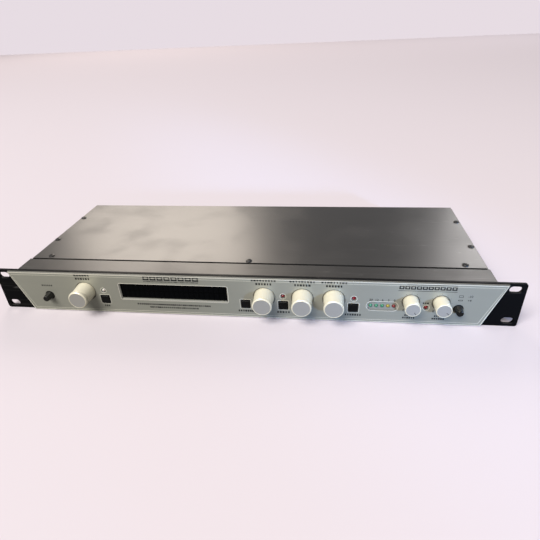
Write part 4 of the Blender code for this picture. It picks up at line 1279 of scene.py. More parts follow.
@dataclass
class Fascia:
    """The slant-ended metal plate, its cut edges, the painted highlights and shadows on it and what is
    printed on it.
    """

    edge: float = 0.5 * MM
    well_flare: float = 0.22 * MM
    key_flare: float = 0.55 * MM
    lamp_flare: float = 0.85 * MM
    window_width: float = 102.2 * MM
    window_height: float = 15.6 * MM
    window_flare: float = 1.0 * MM
    pocket_length: float = 25.0 * MM
    pocket_height: float = 7.2 * MM
    pocket_depth: float = 1.0 * MM
    pocket_flare: float = 1.2 * MM
    foot_inset: float = 15.2 * MM

    def __post_init__(self) -> None:
        """Reads the plate's place."""
        self.low, self.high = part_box("fascia_plate")
        self.front = self.low.y
        self.back = self.high.y

    def outline(self, inset: float) -> Outline:
        """The plate's four corners, moved in by an inset."""
        low, high = self.low, self.high
        slant = self.foot_inset
        return [
            (low.x + slant + inset, low.z + inset), (high.x - slant - inset, low.z + inset),
            (high.x - inset, high.z - inset), (low.x + inset, high.z - inset),
        ]

    def flared(
        self, name: str, plain: Outline, wide: Outline, at: Vector, flare: float
    ) -> bpy.types.Mesh:
        """A cutter with a countersunk mouth at the plate's front."""
        margin = 3.0 * MM
        return lofted(name, [
            (plain, self.back + margin), (plain, self.front + flare), (wide, self.front),
            (wide, self.front - margin),
        ], Vector((at.x, 0.0, at.z)))

    def cutters(self) -> list[bpy.types.Mesh]:
        """The cutters for every opening."""
        made = []
        for control in CONTROLS:
            radius = ENDLESS_WELL if control.style is KnobStyle.ENDLESS else LEVEL_WELL
            at = centre_of(control.knob)
            made.append(self.flared(
                "well", circle(radius), circle(radius + self.well_flare), at, self.well_flare
            ))
        side, flare = KEY_WELL, self.key_flare
        for key in KEYS:
            plain = rounded(side, side, KEY_WELL_CORNER, 48)
            wide = rounded(side + 2 * flare, side + 2 * flare, KEY_WELL_CORNER + flare, 48)
            made.append(self.flared("key_well", plain, wide, centre_of(key), flare))
        for push in PUSHES:
            radius = PUSH_WELL
            made.append(self.flared(
                "push_well", circle(radius, 64), circle(radius + self.well_flare, 64),
                centre_of(push), self.well_flare,
            ))
        for lamp in SINGLE_LAMPS:
            radius = LAMP_WELL
            made.append(self.flared(
                "lamp_well", circle(radius, 48), circle(radius + self.lamp_flare, 48),
                centre_of(lamp), self.lamp_flare,
            ))
        for lamp in METER_LAMPS:
            at = centre_of(lamp)
            made.append(through("meter_well", circle(LAMP_WELL, 48), at, self.front, self.back))
        flare = self.window_flare
        plain = rounded(self.window_width, self.window_height, 0.8 * MM)
        wide = rounded(self.window_width + 2 * flare, self.window_height + 2 * flare, 0.8 * MM + flare)
        made.append(self.flared("window_well", plain, wide, centre_of("display_window"), flare))
        made.append(self.pocket())
        return made

    def pocket(self) -> bpy.types.Mesh:
        """The cutter for the meter's shallow pocket."""
        flare, height = self.pocket_flare, self.pocket_height
        floor = rounded(self.pocket_length, height, height / 2 - 1e-5)
        wide = rounded(self.pocket_length + 2 * flare, height + 2 * flare, height / 2 + flare - 1e-5)
        at = centre_of("meter_led_3")
        return lofted("meter_pocket", [
            (floor, self.front + self.pocket_depth), (wide, self.front), (wide, self.front - 3 * MM),
        ], Vector((at.x, 0.0, at.z)))

    def build(self, shop: Workshop) -> None:
        """Builds the plate, with its bevels and openings in a brighter cut metal that is partly a painted
        highlight, and its upward faces darker as painted shade.

        Args:
            shop: the materials and node trees.
        """
        slab = lofted("fascia_slab", [
            (self.outline(0.0), self.back),
            (self.outline(0.0), self.front + self.edge),
            (self.outline(self.edge), self.front),
        ], Vector((0.0, 0.0, 0.0)))
        mesh = carved("fascia_piece", slab, self.cutters())
        piece = install(
            "fascia_piece", mesh, shop.palette.of(Finish.FASCIA), ROOT, ["fascia_plate"]
        )
        mesh.materials.append(shop.palette.of(Finish.CUT_EDGE_AND_HIGHLIGHT))
        mesh.materials.append(shop.palette.of(Finish.TOP_PAINTED_SHADE))
        # Upward faces take a darker finish as painted shade; slanted faces take a brighter cut metal that
        # is partly real cut metal and partly a painted highlight.
        for face in piece.data.polygons:
            slanted = 0.15 < -face.normal.y < 0.95
            face.material_index = 2 if face.normal.z > 0.35 else 1 if slanted else 0
        # The bright line at the plate's edge is a painted highlight on the bevel.
        self.border(shop, "fascia_edge_line", self.edge + 0.02 * MM, 0.55 * MM)
        self.border(shop, "fascia_border_line", self.edge + 2.3 * MM, 0.22 * MM)
        self.rim_highlights(shop)
        self.shadow_rings(shop)

    def shadow_rings(self, shop: Workshop) -> None:
        """Builds the thin dark ring round each knob's well, a painted shadow of the gap round the knob."""
        made = []
        for control in CONTROLS:
            endless = control.style is KnobStyle.ENDLESS
            inner = (ENDLESS_WELL if endless else LEVEL_WELL) + self.well_flare + 0.02 * MM
            width = (0.24 if endless else 0.42) * MM
            at = centre_of(control.knob)
            near, far = self.front - 0.03 * MM, self.front + 0.02 * MM
            made.append(lofted("well_ring", [
                (circle(inner), far), (circle(inner), near),
                (circle(inner + width), near), (circle(inner + width), far),
            ], Vector((at.x, 0.0, at.z)), ring=True))
        rings = joined("fascia_well_rings", made)
        install("fascia_well_rings", rings, shop.palette.of(Finish.INK_AND_SHADOW))

    def border(self, shop: Workshop, name: str, inset: float, width: float) -> None:
        """Builds a fine raised bright line that runs round the plate; the one at the plate's edge is a
        painted highlight on its bevel.

        Args:
            shop: the materials and node trees.
            name: the line's name.
            inset: how far in from the plate's edge it runs.
            width: how wide it is.
        """
        front = self.front
        bm = bmesh.new()
        loops = []
        for away, y in ((inset, front + 0.02 * MM), (inset, front - 0.06 * MM),
                        (inset + width, front - 0.06 * MM), (inset + width, front + 0.02 * MM)):
            loops.append([bm.verts.new((x, y, z)) for x, z in self.outline(away)])
        for near, far in zip(loops, loops[1:] + loops[:1]):
            for i in range(4):
                after = (i + 1) % 4
                bm.faces.new((near[i], near[after], far[after], far[i]))
        install(name, closed_mesh(name, bm), shop.palette.of(Finish.LINE_AND_HIGHLIGHT))

    def rim_highlights(self, shop: Workshop) -> None:
        """Builds the fine bright lips round the lamps, the keys, the meter and the display, painted
        highlights on the edges of their openings.
        """
        lip, proud = 0.34 * MM, 0.08 * MM
        made = []
        shapes = [(lamp, 2 * (LAMP_WELL + self.lamp_flare), 2 * (LAMP_WELL + self.lamp_flare), None)
                  for lamp in SINGLE_LAMPS]
        side = KEY_WELL + 2 * self.key_flare
        shapes += [(key, side, side, KEY_WELL_CORNER + self.key_flare) for key in KEYS]
        length = self.pocket_length + 2 * self.pocket_flare
        height = self.pocket_height + 2 * self.pocket_flare
        shapes.append(("meter_led_3", length, height, height / 2 - 1e-5))
        wide = self.window_width + 2 * self.window_flare
        tall = self.window_height + 2 * self.window_flare
        shapes.append(("display_window", wide, tall, 0.8 * MM + self.window_flare))
        # Each lip is a painted highlight round an opening's edge.
        for node, across, up, corner in shapes:
            radius = corner if corner is not None else across / 2 - 1e-6
            inner = rounded(across, up, radius)
            outer = rounded(across + 2 * lip, up + 2 * lip, radius + lip)
            at = centre_of(node)
            made.append(lofted("rim", [
                (inner, self.front + 0.03 * MM), (inner, self.front - proud),
                (outer, self.front - proud * 0.6), (outer, self.front + 0.03 * MM),
            ], Vector((at.x, 0.0, at.z)), ring=True))
        install("fascia_rims", joined("fascia_rims", made), shop.palette.of(Finish.LINE_AND_HIGHLIGHT))


@dataclass
class Print:
    """The generic marks on the fascia: dashes in place of words, plain numbers and dial ticks."""

    proud: float = 0.02 * MM
    thickness: float = 0.04 * MM
    small: float = 2.2 * MM
    letter: float = 2.0 * MM

    def __post_init__(self) -> None:
        """Reads the face that is printed on."""
        self.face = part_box("fascia_plate")[0].y
        self.pieces: list[bpy.types.Mesh] = []

    @property
    def level(self) -> float:
        """The y of the middle of the ink."""
        return self.face - self.proud + self.thickness / 2

    def dashes(self, shop: Workshop, x: float, z: float, width: float, height: float, seed: int) -> None:
        """Adds a row of dashes.

        Args:
            shop: the materials and node trees.
            x: the row's middle.
            z: its height on the fascia.
            width: its length.
            height: how tall the dashes are.
            seed: what the dashes' lengths follow.
        """
        pitch = height * 1.15
        count = max(2, round(width / pitch))
        self.pieces.append(shop.tools.dashes.run(
            "dash_row", shop.palette.of(Finish.INK_AND_SHADOW), Count=count, Pitch=width / count,
            Bar=(width / count, self.thickness, height), Centre=(x, self.level, z), Seed=seed,
        ))

    def bar(self, x: float, z: float, width: float, height: float) -> None:
        """Adds one solid bar."""
        low = (x - width / 2, self.level - self.thickness / 2, z - height / 2)
        high = (x + width / 2, self.level + self.thickness / 2, z + height / 2)
        self.pieces.append(block("bar", low, high))

    def frame(self, x: float, z: float, width: float, height: float, line: float) -> None:
        """Adds the outline of a rectangle."""
        for sign in (-1, 1):
            self.bar(x, z + sign * (height - line) / 2, width, line)
            self.bar(x + sign * (width - line) / 2, z, line, height - 2 * line)

    def blocks(self, x: float, z: float, width: float, height: float, count: int, line: float) -> None:
        """Adds a row of hollow blocks, which fills the place of a name.

        Args:
            x: the row's middle.
            z: its middle's height.
            width: its length.
            height: how tall a block is.
            count: how many blocks it has.
            line: how thick their lines are.
        """
        pitch = width / count
        for i in range(count):
            self.frame(x + (i - (count - 1) / 2) * pitch, z, pitch * 0.86, height, line)

    def number(self, text: str, x: float, z: float, size: float) -> None:
        """Adds a plain number.

        Args:
            text: its digits.
            x: its middle.
            z: its middle's height.
            size: how tall it is.
        """
        curve = bpy.data.curves.new("number", "FONT")
        curve.body = text
        curve.size = size * 1.35
        curve.align_x = "CENTER"
        curve.align_y = "CENTER"
        curve.extrude = self.thickness / 2
        curve.offset = size * 0.02
        curve.resolution_u = 3
        holder = bpy.data.objects.new("number", curve)
        bpy.context.scene.collection.objects.link(holder)
        mesh = evaluated(holder, "number")
        mesh.transform(Matrix.Translation((x, self.level, z)) @ Matrix.Rotation(math.pi / 2, 4, "X"))
        self.pieces.append(mesh)

    def dial(self, shop: Workshop, control: Control, ticks: int = 11) -> None:
        """Adds the ticks and end numbers round a level control."""
        at = centre_of(control.knob)
        half = math.radians(150)
        self.pieces.append(shop.tools.ticks.run(
            "dial", shop.palette.of(Finish.INK_AND_SHADOW), Count=ticks, Radius=8.9 * MM, Start=-half,
            Sweep=2 * half, Bar=(0.22 * MM, self.thickness, 0.9 * MM), Centre=(at.x, self.level, at.z),
        ))
        reach = 10.6 * MM
        for text, angle in (("0", -half), ("10", half)):
            self.number(text, at.x + reach * math.sin(angle), at.z + reach * math.cos(angle), self.small)

    def build(self, shop: Workshop) -> None:
        """Prints the whole fascia.

        Args:
            shop: the materials and node trees.
        """
        seed = 3
        for control in CONTROLS:
            at = centre_of(control.knob)
            if control.style is KnobStyle.ENDLESS:
                width = 16.0 * MM if control.name == "preset" else 23.0 * MM
                self.dashes(shop, at.x, at.z + 17.2 * MM, width, self.small, seed)
                self.dashes(shop, at.x, at.z + 13.7 * MM, 15.0 * MM, self.small, seed + 1)
            else:
                self.dial(shop, control)
                self.dashes(shop, at.x - 0.6 * MM, at.z - 14.2 * MM, 7.0 * MM, 1.7 * MM, seed)
                self.dashes(shop, at.x - 0.2 * MM, at.z - 17.0 * MM, 11.0 * MM, 1.7 * MM, seed + 1)
            seed += 2
        for key, width in zip(KEYS, (6.0, 15.0, 12.5, 15.0)):
            at = centre_of(key)
            self.dashes(shop, at.x, at.z - 7.6 * MM, width * MM, self.letter, seed)
            seed += 1
        power = centre_of("power_button")
        self.dashes(shop, power.x, power.z + 10.9 * MM, 11.4 * MM, 1.7 * MM, 31)
        self.meter(shop)
        self.name_places(shop)
        self.range_marks()
        mesh = joined("fascia_print", self.pieces)
        install("fascia_print", mesh, shop.palette.of(Finish.INK_AND_SHADOW))

    def meter(self, shop: Workshop) -> None:
        """Prints the meter's scale over its lamps."""
        for text, lamp in zip(("20", "12", "6", "3", "0"), METER_LAMPS):
            at = centre_of(lamp)
            self.number(text, at.x, at.z + 6.4 * MM, 2.3 * MM)
        clip = centre_of("clip_led")
        self.dashes(shop, clip.x - 0.9 * MM, clip.z + 4.8 * MM, 5.6 * MM, 1.5 * MM, 41)

    def name_places(self, shop: Workshop) -> None:
        """Fills the two name places with plain bars and rules, and the line under the display."""
        window = centre_of("display_window")
        x = -65.0 * MM
        self.blocks(x, window.z + 15.5 * MM, 53.5 * MM, 4.6 * MM, 8, 1.45 * MM)
        self.dashes(shop, x, window.z + 11.9 * MM, 52.0 * MM, 1.0 * MM, 55)
        self.dashes(shop, x - 1.0 * MM, window.z - 13.5 * MM, 72.0 * MM, 1.7 * MM, 61)
        self.dashes(shop, x - 1.0 * MM, window.z - 16.7 * MM, 48.0 * MM, 1.7 * MM, 62)
        left, right = centre_of("input_level_knob"), centre_of("output_level_knob")
        middle = (left.x + right.x) / 2
        self.blocks(middle, left.z + 14.7 * MM, 48.0 * MM, 3.7 * MM, 10, 1.05 * MM)
        self.bar(middle, left.z + 11.4 * MM, 48.4 * MM, 0.4 * MM)
        self.bar(middle + 3.0 * MM, left.z + 17.7 * MM, 41.0 * MM, 0.35 * MM)

    def range_marks(self) -> None:
        """Prints the range switch's out and in marks with their numbers."""
        at = centre_of("range_button")
        top, low = at.z + 13.0 * MM, at.z + 9.0 * MM
        self.frame(at.x + 0.3 * MM, top, 3.6 * MM, 2.2 * MM, 0.35 * MM)
        self.frame(at.x + 0.3 * MM, low, 3.6 * MM, 1.3 * MM, 0.35 * MM)
        self.number("-10", at.x + 7.9 * MM, top, 2.2 * MM)
        self.number("+4", at.x + 7.6 * MM, low, 2.2 * MM)


@dataclass
class Knobs:
    """The turned knobs and the pointers on the level controls."""

    endless_base: float = 9.35 * MM
    endless_neck: float = 8.42 * MM
    endless_rim: float = 8.85 * MM
    endless_rim_depth: float = 3.3 * MM
    endless_chamfer: float = 0.85 * MM
    level_base: float = 6.65 * MM
    level_neck: float = 6.5 * MM
    level_rim: float = 6.6 * MM
    level_rim_depth: float = 1.5 * MM
    level_chamfer: float = 0.45 * MM
    inside_depth: float = 2.2 * MM
    wall: float = 1.4 * MM

    def sizes(self, style: KnobStyle) -> tuple[float, float, float, float, float]:
        """A style's base, neck and rim radius, rim depth and chamfer."""
        if style is KnobStyle.ENDLESS:
            return (
                self.endless_base, self.endless_neck, self.endless_rim,
                self.endless_rim_depth, self.endless_chamfer,
            )
        return self.level_base, self.level_neck, self.level_rim, self.level_rim_depth, self.level_chamfer

    def build(self, shop: Workshop) -> None:
        """Builds every knob.

        Args:
            shop: the materials and node trees.
        """
        for control in CONTROLS:
            self.body(shop, control)
            self.face(shop, control)
            if control.style is KnobStyle.LEVEL:
                self.pointer(shop, control)

    def body(self, shop: Workshop, control: Control) -> None:
        """Builds the knob's skirt, rim and chamfered shoulder."""
        low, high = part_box(control.knob)
        at = Vector(((low.x + high.x) / 2, 0.0, (low.z + high.z) / 2))
        base, neck, rim, rim_depth, chamfer = self.sizes(control.style)
        front = low.y
        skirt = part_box("fascia_plate")[0].y + 2.2 * MM
        recess = rim - chamfer - 0.35 * MM
        groove = 0.28 * MM
        profile = softened([
            (front + self.inside_depth, 0.02 * MM),
            (front + self.inside_depth, neck - self.wall),
            (skirt, base - self.wall),
            (skirt, base),
            (front + rim_depth + 0.85 * MM, neck),
            (front + rim_depth + 0.75 * MM, neck - groove),
            (front + rim_depth + 0.30 * MM, neck - groove),
            (front + rim_depth, rim),
            (front + chamfer, rim),
            (front, rim - chamfer),
            (front, recess),
            (front + 0.22 * MM, recess - 0.05 * MM),
            (front + 0.22 * MM, 0.02 * MM),
        ], 0.12 * MM)
        mesh = turned(f"{control.name}_knob_body", profile, at)
        install(
            f"{control.name}_knob_body", mesh, shop.palette.of(Finish.KNOB),
            control.body, [control.knob],
        )

    def face(self, shop: Workshop, control: Control) -> None:
        """Builds the lathe-cut disc let into the knob's front, with its turning rings."""
        low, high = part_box(control.knob)
        at = Vector(((low.x + high.x) / 2, 0.0, (low.z + high.z) / 2))
        _, _, rim, _, chamfer = self.sizes(control.style)
        radius = rim - chamfer - 0.45 * MM
        front = low.y + 0.05 * MM
        rings = 26
        profile = [(low.y + 0.24 * MM, 0.01 * MM), (low.y + 0.24 * MM, radius), (front, radius)]
        for i in range(rings):
            share = 1 - (i + 0.5) / rings
            profile.append((front + (0.012 * MM if i % 2 else 0.0), radius * share))
        profile.append((front, 0.01 * MM))
        mesh = turned(f"{control.name}_knob_face", profile, at)
        install(
            f"{control.name}_knob_face", mesh, shop.palette.of(Finish.KNOB_FACE),
            control.body,
        )

    def pointer(self, shop: Workshop, control: Control) -> None:
        """Builds the short filled line that shows where a level control stands."""
        low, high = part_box(control.knob)
        at = Vector(((low.x + high.x) / 2, 0.0, (low.z + high.z) / 2))
        front = low.y
        mesh = block(
            f"{control.name}_pointer",
            (-0.35 * MM, front - 0.02 * MM, 2.6 * MM), (0.35 * MM, front + 0.15 * MM, 5.3 * MM),
        )
        mesh.transform(Matrix.Translation(at) @ Matrix.Rotation(math.radians(control.pointer), 4, "Y"))
        install(
            f"{control.name}_pointer", mesh, shop.palette.of(Finish.POINTER), control.body
        )


@dataclass
class Buttons:
    """The square keys and the tapered round push buttons."""

    key_side: float = 8.0 * MM
    key_corner: float = 0.55 * MM
    key_edge: float = 0.5 * MM
    push_base: float = 4.0 * MM
    push_tip: float = 2.85 * MM
    flutes: int = 12

    def build(self, shop: Workshop) -> None:
        """Builds every button.

        Args:
            shop: the materials and node trees.
        """
        for name in KEYS:
            self.key(shop, name)
        for name in PUSHES:
            self.push(shop, name)

    def key(self, shop: Workshop, name: str) -> None:
        """Builds a keycap with a soft edge and a slightly dished face, on its stem."""
        low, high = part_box(name)
        at = Vector(((low.x + high.x) / 2, 0.0, (low.z + high.z) / 2))
        front = low.y
        side, corner, edge = self.key_side, self.key_corner, self.key_edge
        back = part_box("front_panel")[0].y + 2.0 * MM
        stem = rounded(3 * MM, 3 * MM, 0.3 * MM)
        sections = [(stem, high.y), (stem, back)]
        sections += [(rounded(side, side, corner), back)]
        for i in range(6):
            angle = math.pi / 2 * i / 5
            inset = edge * (1 - math.cos(angle))
            shape = rounded(side - 2 * inset, side - 2 * inset, corner)
            sections.append((shape, front + edge * (1 - math.sin(angle))))
        sections.append((rounded(side - 2.4 * MM, side - 2.4 * MM, corner), front + 0.12 * MM))
        mesh = lofted(f"{name}_cap", sections, at)
        body = name.replace("_button", "_key")
        install(f"{name}_cap", mesh, shop.palette.of(Finish.BLACK), body, [name])

    def fluted(self, radius: float, depth: float) -> Outline:
        """A round outline with shallow flutes in it."""
        sides = 96
        points = []
        for i in range(sides):
            angle = math.tau * (i + 0.5) / sides
            r = radius - depth * (0.5 - 0.5 * math.cos(self.flutes * angle))
            points.append((r * math.cos(angle), r * math.sin(angle)))
        return points

    def push(self, shop: Workshop, name: str) -> None:
        """Builds a tapered push button with fluted sides and a dished tip."""
        low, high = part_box(name)
        at = Vector(((low.x + high.x) / 2, 0.0, (low.z + high.z) / 2))
        tip, base_y = low.y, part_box("fascia_plate")[1].y
        base, end = self.push_base, self.push_tip
        plunger = rounded(3.4 * MM, 3.4 * MM, 0.4 * MM)
        sections = [
            (plunger, high.y), (plunger, base_y), (circle(base - 0.2 * MM), base_y),
            (circle(base), base_y - 0.2 * MM), (circle(base), base_y - 2.2 * MM),
            (self.fluted(base - 0.1 * MM, 0.22 * MM), base_y - 2.7 * MM),
            (self.fluted(end + 0.12 * MM, 0.16 * MM), tip + 1.1 * MM),
            (circle(end), tip + 0.7 * MM), (circle(end - 0.1 * MM), tip + 0.3 * MM),
            (circle(end - 0.35 * MM), tip + 0.05 * MM), (circle(end - 0.7 * MM), tip),
            (circle(end - 1.1 * MM), tip + 0.12 * MM), (circle(0.3 * MM), tip + 0.34 * MM),
        ]
        mesh = lofted(f"{name}_cap", sections, at, crease=40.0)
        body = name.replace("_button", "_push")
        install(f"{name}_cap", mesh, shop.palette.of(Finish.PUSH), body, [name])


@dataclass
class Lamps:
    """The indicator lamps: a moulded dome with its flange, and two tinned leads."""

    radius: float = 1.5 * MM
    flange: float = 1.95 * MM
    lead: float = 0.28 * MM
    spacing: float = 1.8 * MM

    def finish_of(self, name: str) -> tuple[Finish, str]:
        """A lamp's finish and a slot name for it, which the build does not use."""
        if name == "tap_led":
            return Finish.CLEAR, "lamp_clear"
        if name in METER_LAMPS[:3]:
            return Finish.GREEN, "lamp_green"
        if name == METER_LAMPS[3]:
            return Finish.YELLOW, "lamp_yellow"
        return Finish.RED, "lamp_red"

    def build(self, shop: Workshop) -> None:
        """Builds every lamp.

        Args:
            shop: the materials and node trees.
        """
        for name in LAMPS:
            low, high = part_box(name)
            at = Vector(((low.x + high.x) / 2, 0.0, (low.z + high.z) / 2))
            nose = low.y
            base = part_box("front_panel")[1].y + 0.1 * MM
            profile = [(base + 1.0 * MM, 0.01 * MM), (base + 1.0 * MM, self.flange - 0.1 * MM),
                       (base + 0.9 * MM, self.flange), (base, self.flange), (base, self.radius)]
            steps = 10
            for i in range(steps + 1):
                angle = math.pi / 2 * i / steps
                radius = max(self.radius * math.cos(angle), 0.01 * MM)
                profile.append((nose + self.radius * (1 - math.sin(angle)), radius))
            finish, slot = self.finish_of(name)
            mesh = turned(f"{name}_dome", profile, at, 40)
            install(f"{name}_dome", mesh, shop.palette.of(finish), ROOT, [name])
            self.leads(shop, name, at, base + 1.0 * MM, high.y)

    def leads(
        self, shop: Workshop, name: str, at: Vector, start: float, end: float
    ) -> None:
        """Builds a lamp's two leads.

        Args:
            shop: the materials and node trees.
            name: the lamp.
            at: its axis.
            start: the y where the leads leave it.
            end: the y where they meet the board.
        """
        wire = [(end, self.lead), (start, self.lead)]
        wires = [
            turned("lead", wire, at + Vector((side * self.spacing / 2, 0, 0)), 12) for side in (-1, 1)
        ]
        mesh = joined(f"{name}_leads", wires)
        install(f"{name}_leads", mesh, shop.palette.of(Finish.TIN))


@dataclass
class Display:
    """The smoked lens in its window."""

    cells: int = 20
    edge: float = 0.3 * MM

    def build(self, shop: Workshop) -> None:
        """Builds the lens.

        Args:
            shop: the materials and node trees.
        """
        low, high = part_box("display_window")
        middle, size = (low + high) / 2, high - low
        at = Vector((middle.x, 0.0, middle.z))
        full = rounded(size.x, size.z, 0.8 * MM)
        small = rounded(size.x - 2 * self.edge, size.z - 2 * self.edge, 0.6 * MM)
        mesh = lofted("display_lens", [
            (small, high.y), (full, high.y - self.edge), (full, low.y + self.edge), (small, low.y),
        ], at)
        finish = DisplayFinish(
            "display_smoked_lens", (0.0010, 0.0011, 0.0014), (0.0019, 0.0021, 0.0026), self.cells,
            96.0 * MM, 11.0 * MM, middle,
        )
        smoked = shop.palette.custom(finish)
        install("display_lens", mesh, smoked, ROOT, ["display_window"])


@dataclass
class CaseShell:
    """The folded case, its rear wall, its cover and the cover's screws."""

    cover_edge: float = 0.3 * MM
    head: float = 2.9 * MM
    head_height: float = 1.15 * MM
    recess: float = 1.9 * MM
    recess_width: float = 0.62 * MM

    def build(self, shop: Workshop) -> None:
        """Builds the case.

        Args:
            shop: the materials and node trees.
        """
        for node, width, finish in (
            ("chassis_tray", 0.45 * MM, Finish.TRAY), ("rear_panel", 0.4 * MM, Finish.TRAY),
            ("top_cover", self.cover_edge, Finish.CASE),
        ):
            mesh = eased(f"{node}_piece", frame["nodes"][node].data, width)
            install(f"{node}_piece", mesh, shop.palette.of(finish), ROOT, [node])
        self.seam(shop)
        self.screws(shop)

    def seam(self, shop: Workshop) -> None:
        """Builds the black strip that lies along the cover's front seam, a painted shade for the deep gap
        there.
        """
        low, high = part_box("top_cover")
        across = (high.x - low.x) / 2 - 1.0 * MM
        front, back = low.y - 1.9 * MM, low.y + 0.5 * MM
        top = high.z + 0.04 * MM
        mesh = lofted("cover_seam_felt", [
            ([(-across, -0.9 * MM), (across, -0.9 * MM), (across, -0.05 * MM), (across - 0.1 * MM, 0.0),
              (-across + 0.1 * MM, 0.0), (-across, -0.05 * MM)], y) for y in (back, front)
        ], Vector((0.0, 0.0, top)))
        install("cover_seam_felt", mesh, shop.palette.of(Finish.SEAM_SHADE))

    def screw_mesh(self) -> bpy.types.Mesh:
        """One round-headed screw with a cross recess, standing on its seat at the origin."""
        head, height = self.head, self.head_height
        profile = [(-6.4 * MM, 0.4 * MM), (-5.6 * MM, 1.3 * MM), (0.0, 1.3 * MM), (0.0, head)]
        steps = 8
        for i in range(steps + 1):
            angle = math.pi / 2 * i / steps
            radius = max(head * math.cos(angle) ** 0.8, 0.02 * MM)
            profile.append((height * (0.3 + 0.7 * math.sin(angle)), radius))
        blank = turned("screw_blank", [(-y, r) for y, r in profile], Vector((0, 0, 0)), 40)
        blank.transform(Matrix.Rotation(-math.pi / 2, 4, "X"))
        floor = height * 0.25
        half, reach = self.recess_width / 2, self.recess
        cross = [
            block("cross_a", (-reach, -half, floor), (reach, half, 2 * height)),
            block("cross_b", (-half, -reach, floor), (half, reach, 2 * height)),
        ]
        return carved("cover_screw_unit", blank, cross)

    def screws(self, shop: Workshop) -> None:
        """Puts a screw in each hole of the cover, each left at its own angle."""
        names = sorted(n for n in frame["nodes"] if n.startswith("cover_screw"))
        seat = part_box("top_cover")[1].z
        places = [Vector((centre_of(n).x, centre_of(n).y, seat + 0.05 * MM)) for n in names]
        mesh = shop.tools.repeat(
            "cover_screws", self.screw_mesh(), places, shop.palette.of(Finish.SCREW),
            Vector((0, 0, 1)), math.pi / 2, 5,
        )
        install("cover_screws", mesh, shop.palette.of(Finish.SCREW), ROOT, names)


@dataclass
class RearSockets:
    """What is seen of the sockets at the back: threaded noses, nuts and pins."""

    nut: float = 6.4 * MM
    nut_height: float = 2.0 * MM
    washer: float = 7.2 * MM
    washer_height: float = 0.5 * MM
    pin: float = 0.55 * MM

    def build(self, shop: Workshop) -> None:
        """Builds the sockets' details and dresses the solids.

        Args:
            shop: the materials and node trees.
        """
        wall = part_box("rear_panel")[1].y
        jacks = sorted(n for n in frame["nodes"] if "_jack_" in n)
        axes = [centre_of(name) for name in jacks]
        places = [Vector((at.x, wall, at.z)) for at in axes]
        nuts = shop.tools.repeat(
            "jack_nuts", self.nut_mesh(), places, shop.palette.of(Finish.TIN), Vector((0, 1, 0)), 1.0, 9
        )
        install("jack_nuts", nuts, shop.palette.of(Finish.TIN))
        threads = shop.tools.repeat(
            "jack_threads", self.thread_mesh(), places, shop.palette.of(Finish.BLACK), Vector((0, 1, 0))
        )
        install("jack_threads", threads, shop.palette.of(Finish.BLACK))
        self.pins(shop)

    def nut_mesh(self) -> bpy.types.Mesh:
        """A hexagonal nut on its washer, round a hole for the nose."""
        hole = 4.95 * MM
        y = 0.06 * MM
        washer = turned("washer", [
            (y, hole), (y, self.washer),
            (y + self.washer_height, self.washer), (y + self.washer_height, hole),
        ], Vector((0, 0, 0)), 48, ring=True)
        top = y + self.washer_height + self.nut_height
        corners = circle(self.nut, 6)
        dense = []
        for (x0, z0), (x1, z1) in zip(corners, corners[1:] + corners[:1]):
            dense += [(x0 + (x1 - x0) * i / 8, z0 + (z1 - z0) * i / 8) for i in range(8)]
        inner = [(hole * math.cos(a), hole * math.sin(a)) for a in (math.atan2(z, x) for x, z in dense)]
        worn = [(x * 0.95, z * 0.95) for x, z in dense]
        start = y + self.washer_height
        nut = lofted("nut", [
            (inner, start), (dense, start), (dense, top - 0.25 * MM), (worn, top), (inner, top),
        ], Vector((0, 0, 0)), ring=True)
        return joined("jack_nut_unit", [washer, nut])

    def thread_mesh(self) -> bpy.types.Mesh:
        """The rings of a nose's thread past its nut."""
        inner, outer, pitch = 4.72 * MM, 4.95 * MM, 0.5 * MM
        start, end = 2.7 * MM, 4.9 * MM
        profile = [(start, inner)]
        turns = int((end - start) / pitch)
        for i in range(turns):
            profile.append((start + pitch * (i + 0.5), outer))
            profile.append((start + pitch * (i + 1), inner + 0.02 * MM))
        profile.append((start + pitch * turns, inner - 0.3 * MM))
        profile.append((start, inner - 0.3 * MM))
        return turned("jack_thread_unit", profile, Vector((0, 0, 0)), 48, ring=True)

    def pins(self, shop: Workshop) -> None:
        """Builds the ring of contact holes' collars in the two round sockets."""
        low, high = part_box("midi_socket_block")
        wall = high.y
        middle = (low + high) / 2
        collar = turned("pin_collar_unit", [
            (-0.3 * MM, self.pin), (-0.3 * MM, self.pin + 0.25 * MM),
            (0.12 * MM, self.pin + 0.25 * MM), (0.12 * MM, self.pin),
        ], Vector((0, 0, 0)), 16, ring=True)
        places = []
        for side in (-1, 1):
            for step in range(5):
                angle = math.radians(-90 + (step - 2) * 45)
                places.append(Vector((
                    middle.x + side * 11.0 * MM + 3.6 * MM * math.cos(angle), wall,
                    middle.z - 3.6 * MM * math.sin(angle),
                )))
        mesh = shop.tools.repeat(
            "socket_contacts", collar, places, shop.palette.of(Finish.TIN), Vector((0, 1, 0))
        )
        install("socket_contacts", mesh, shop.palette.of(Finish.TIN))


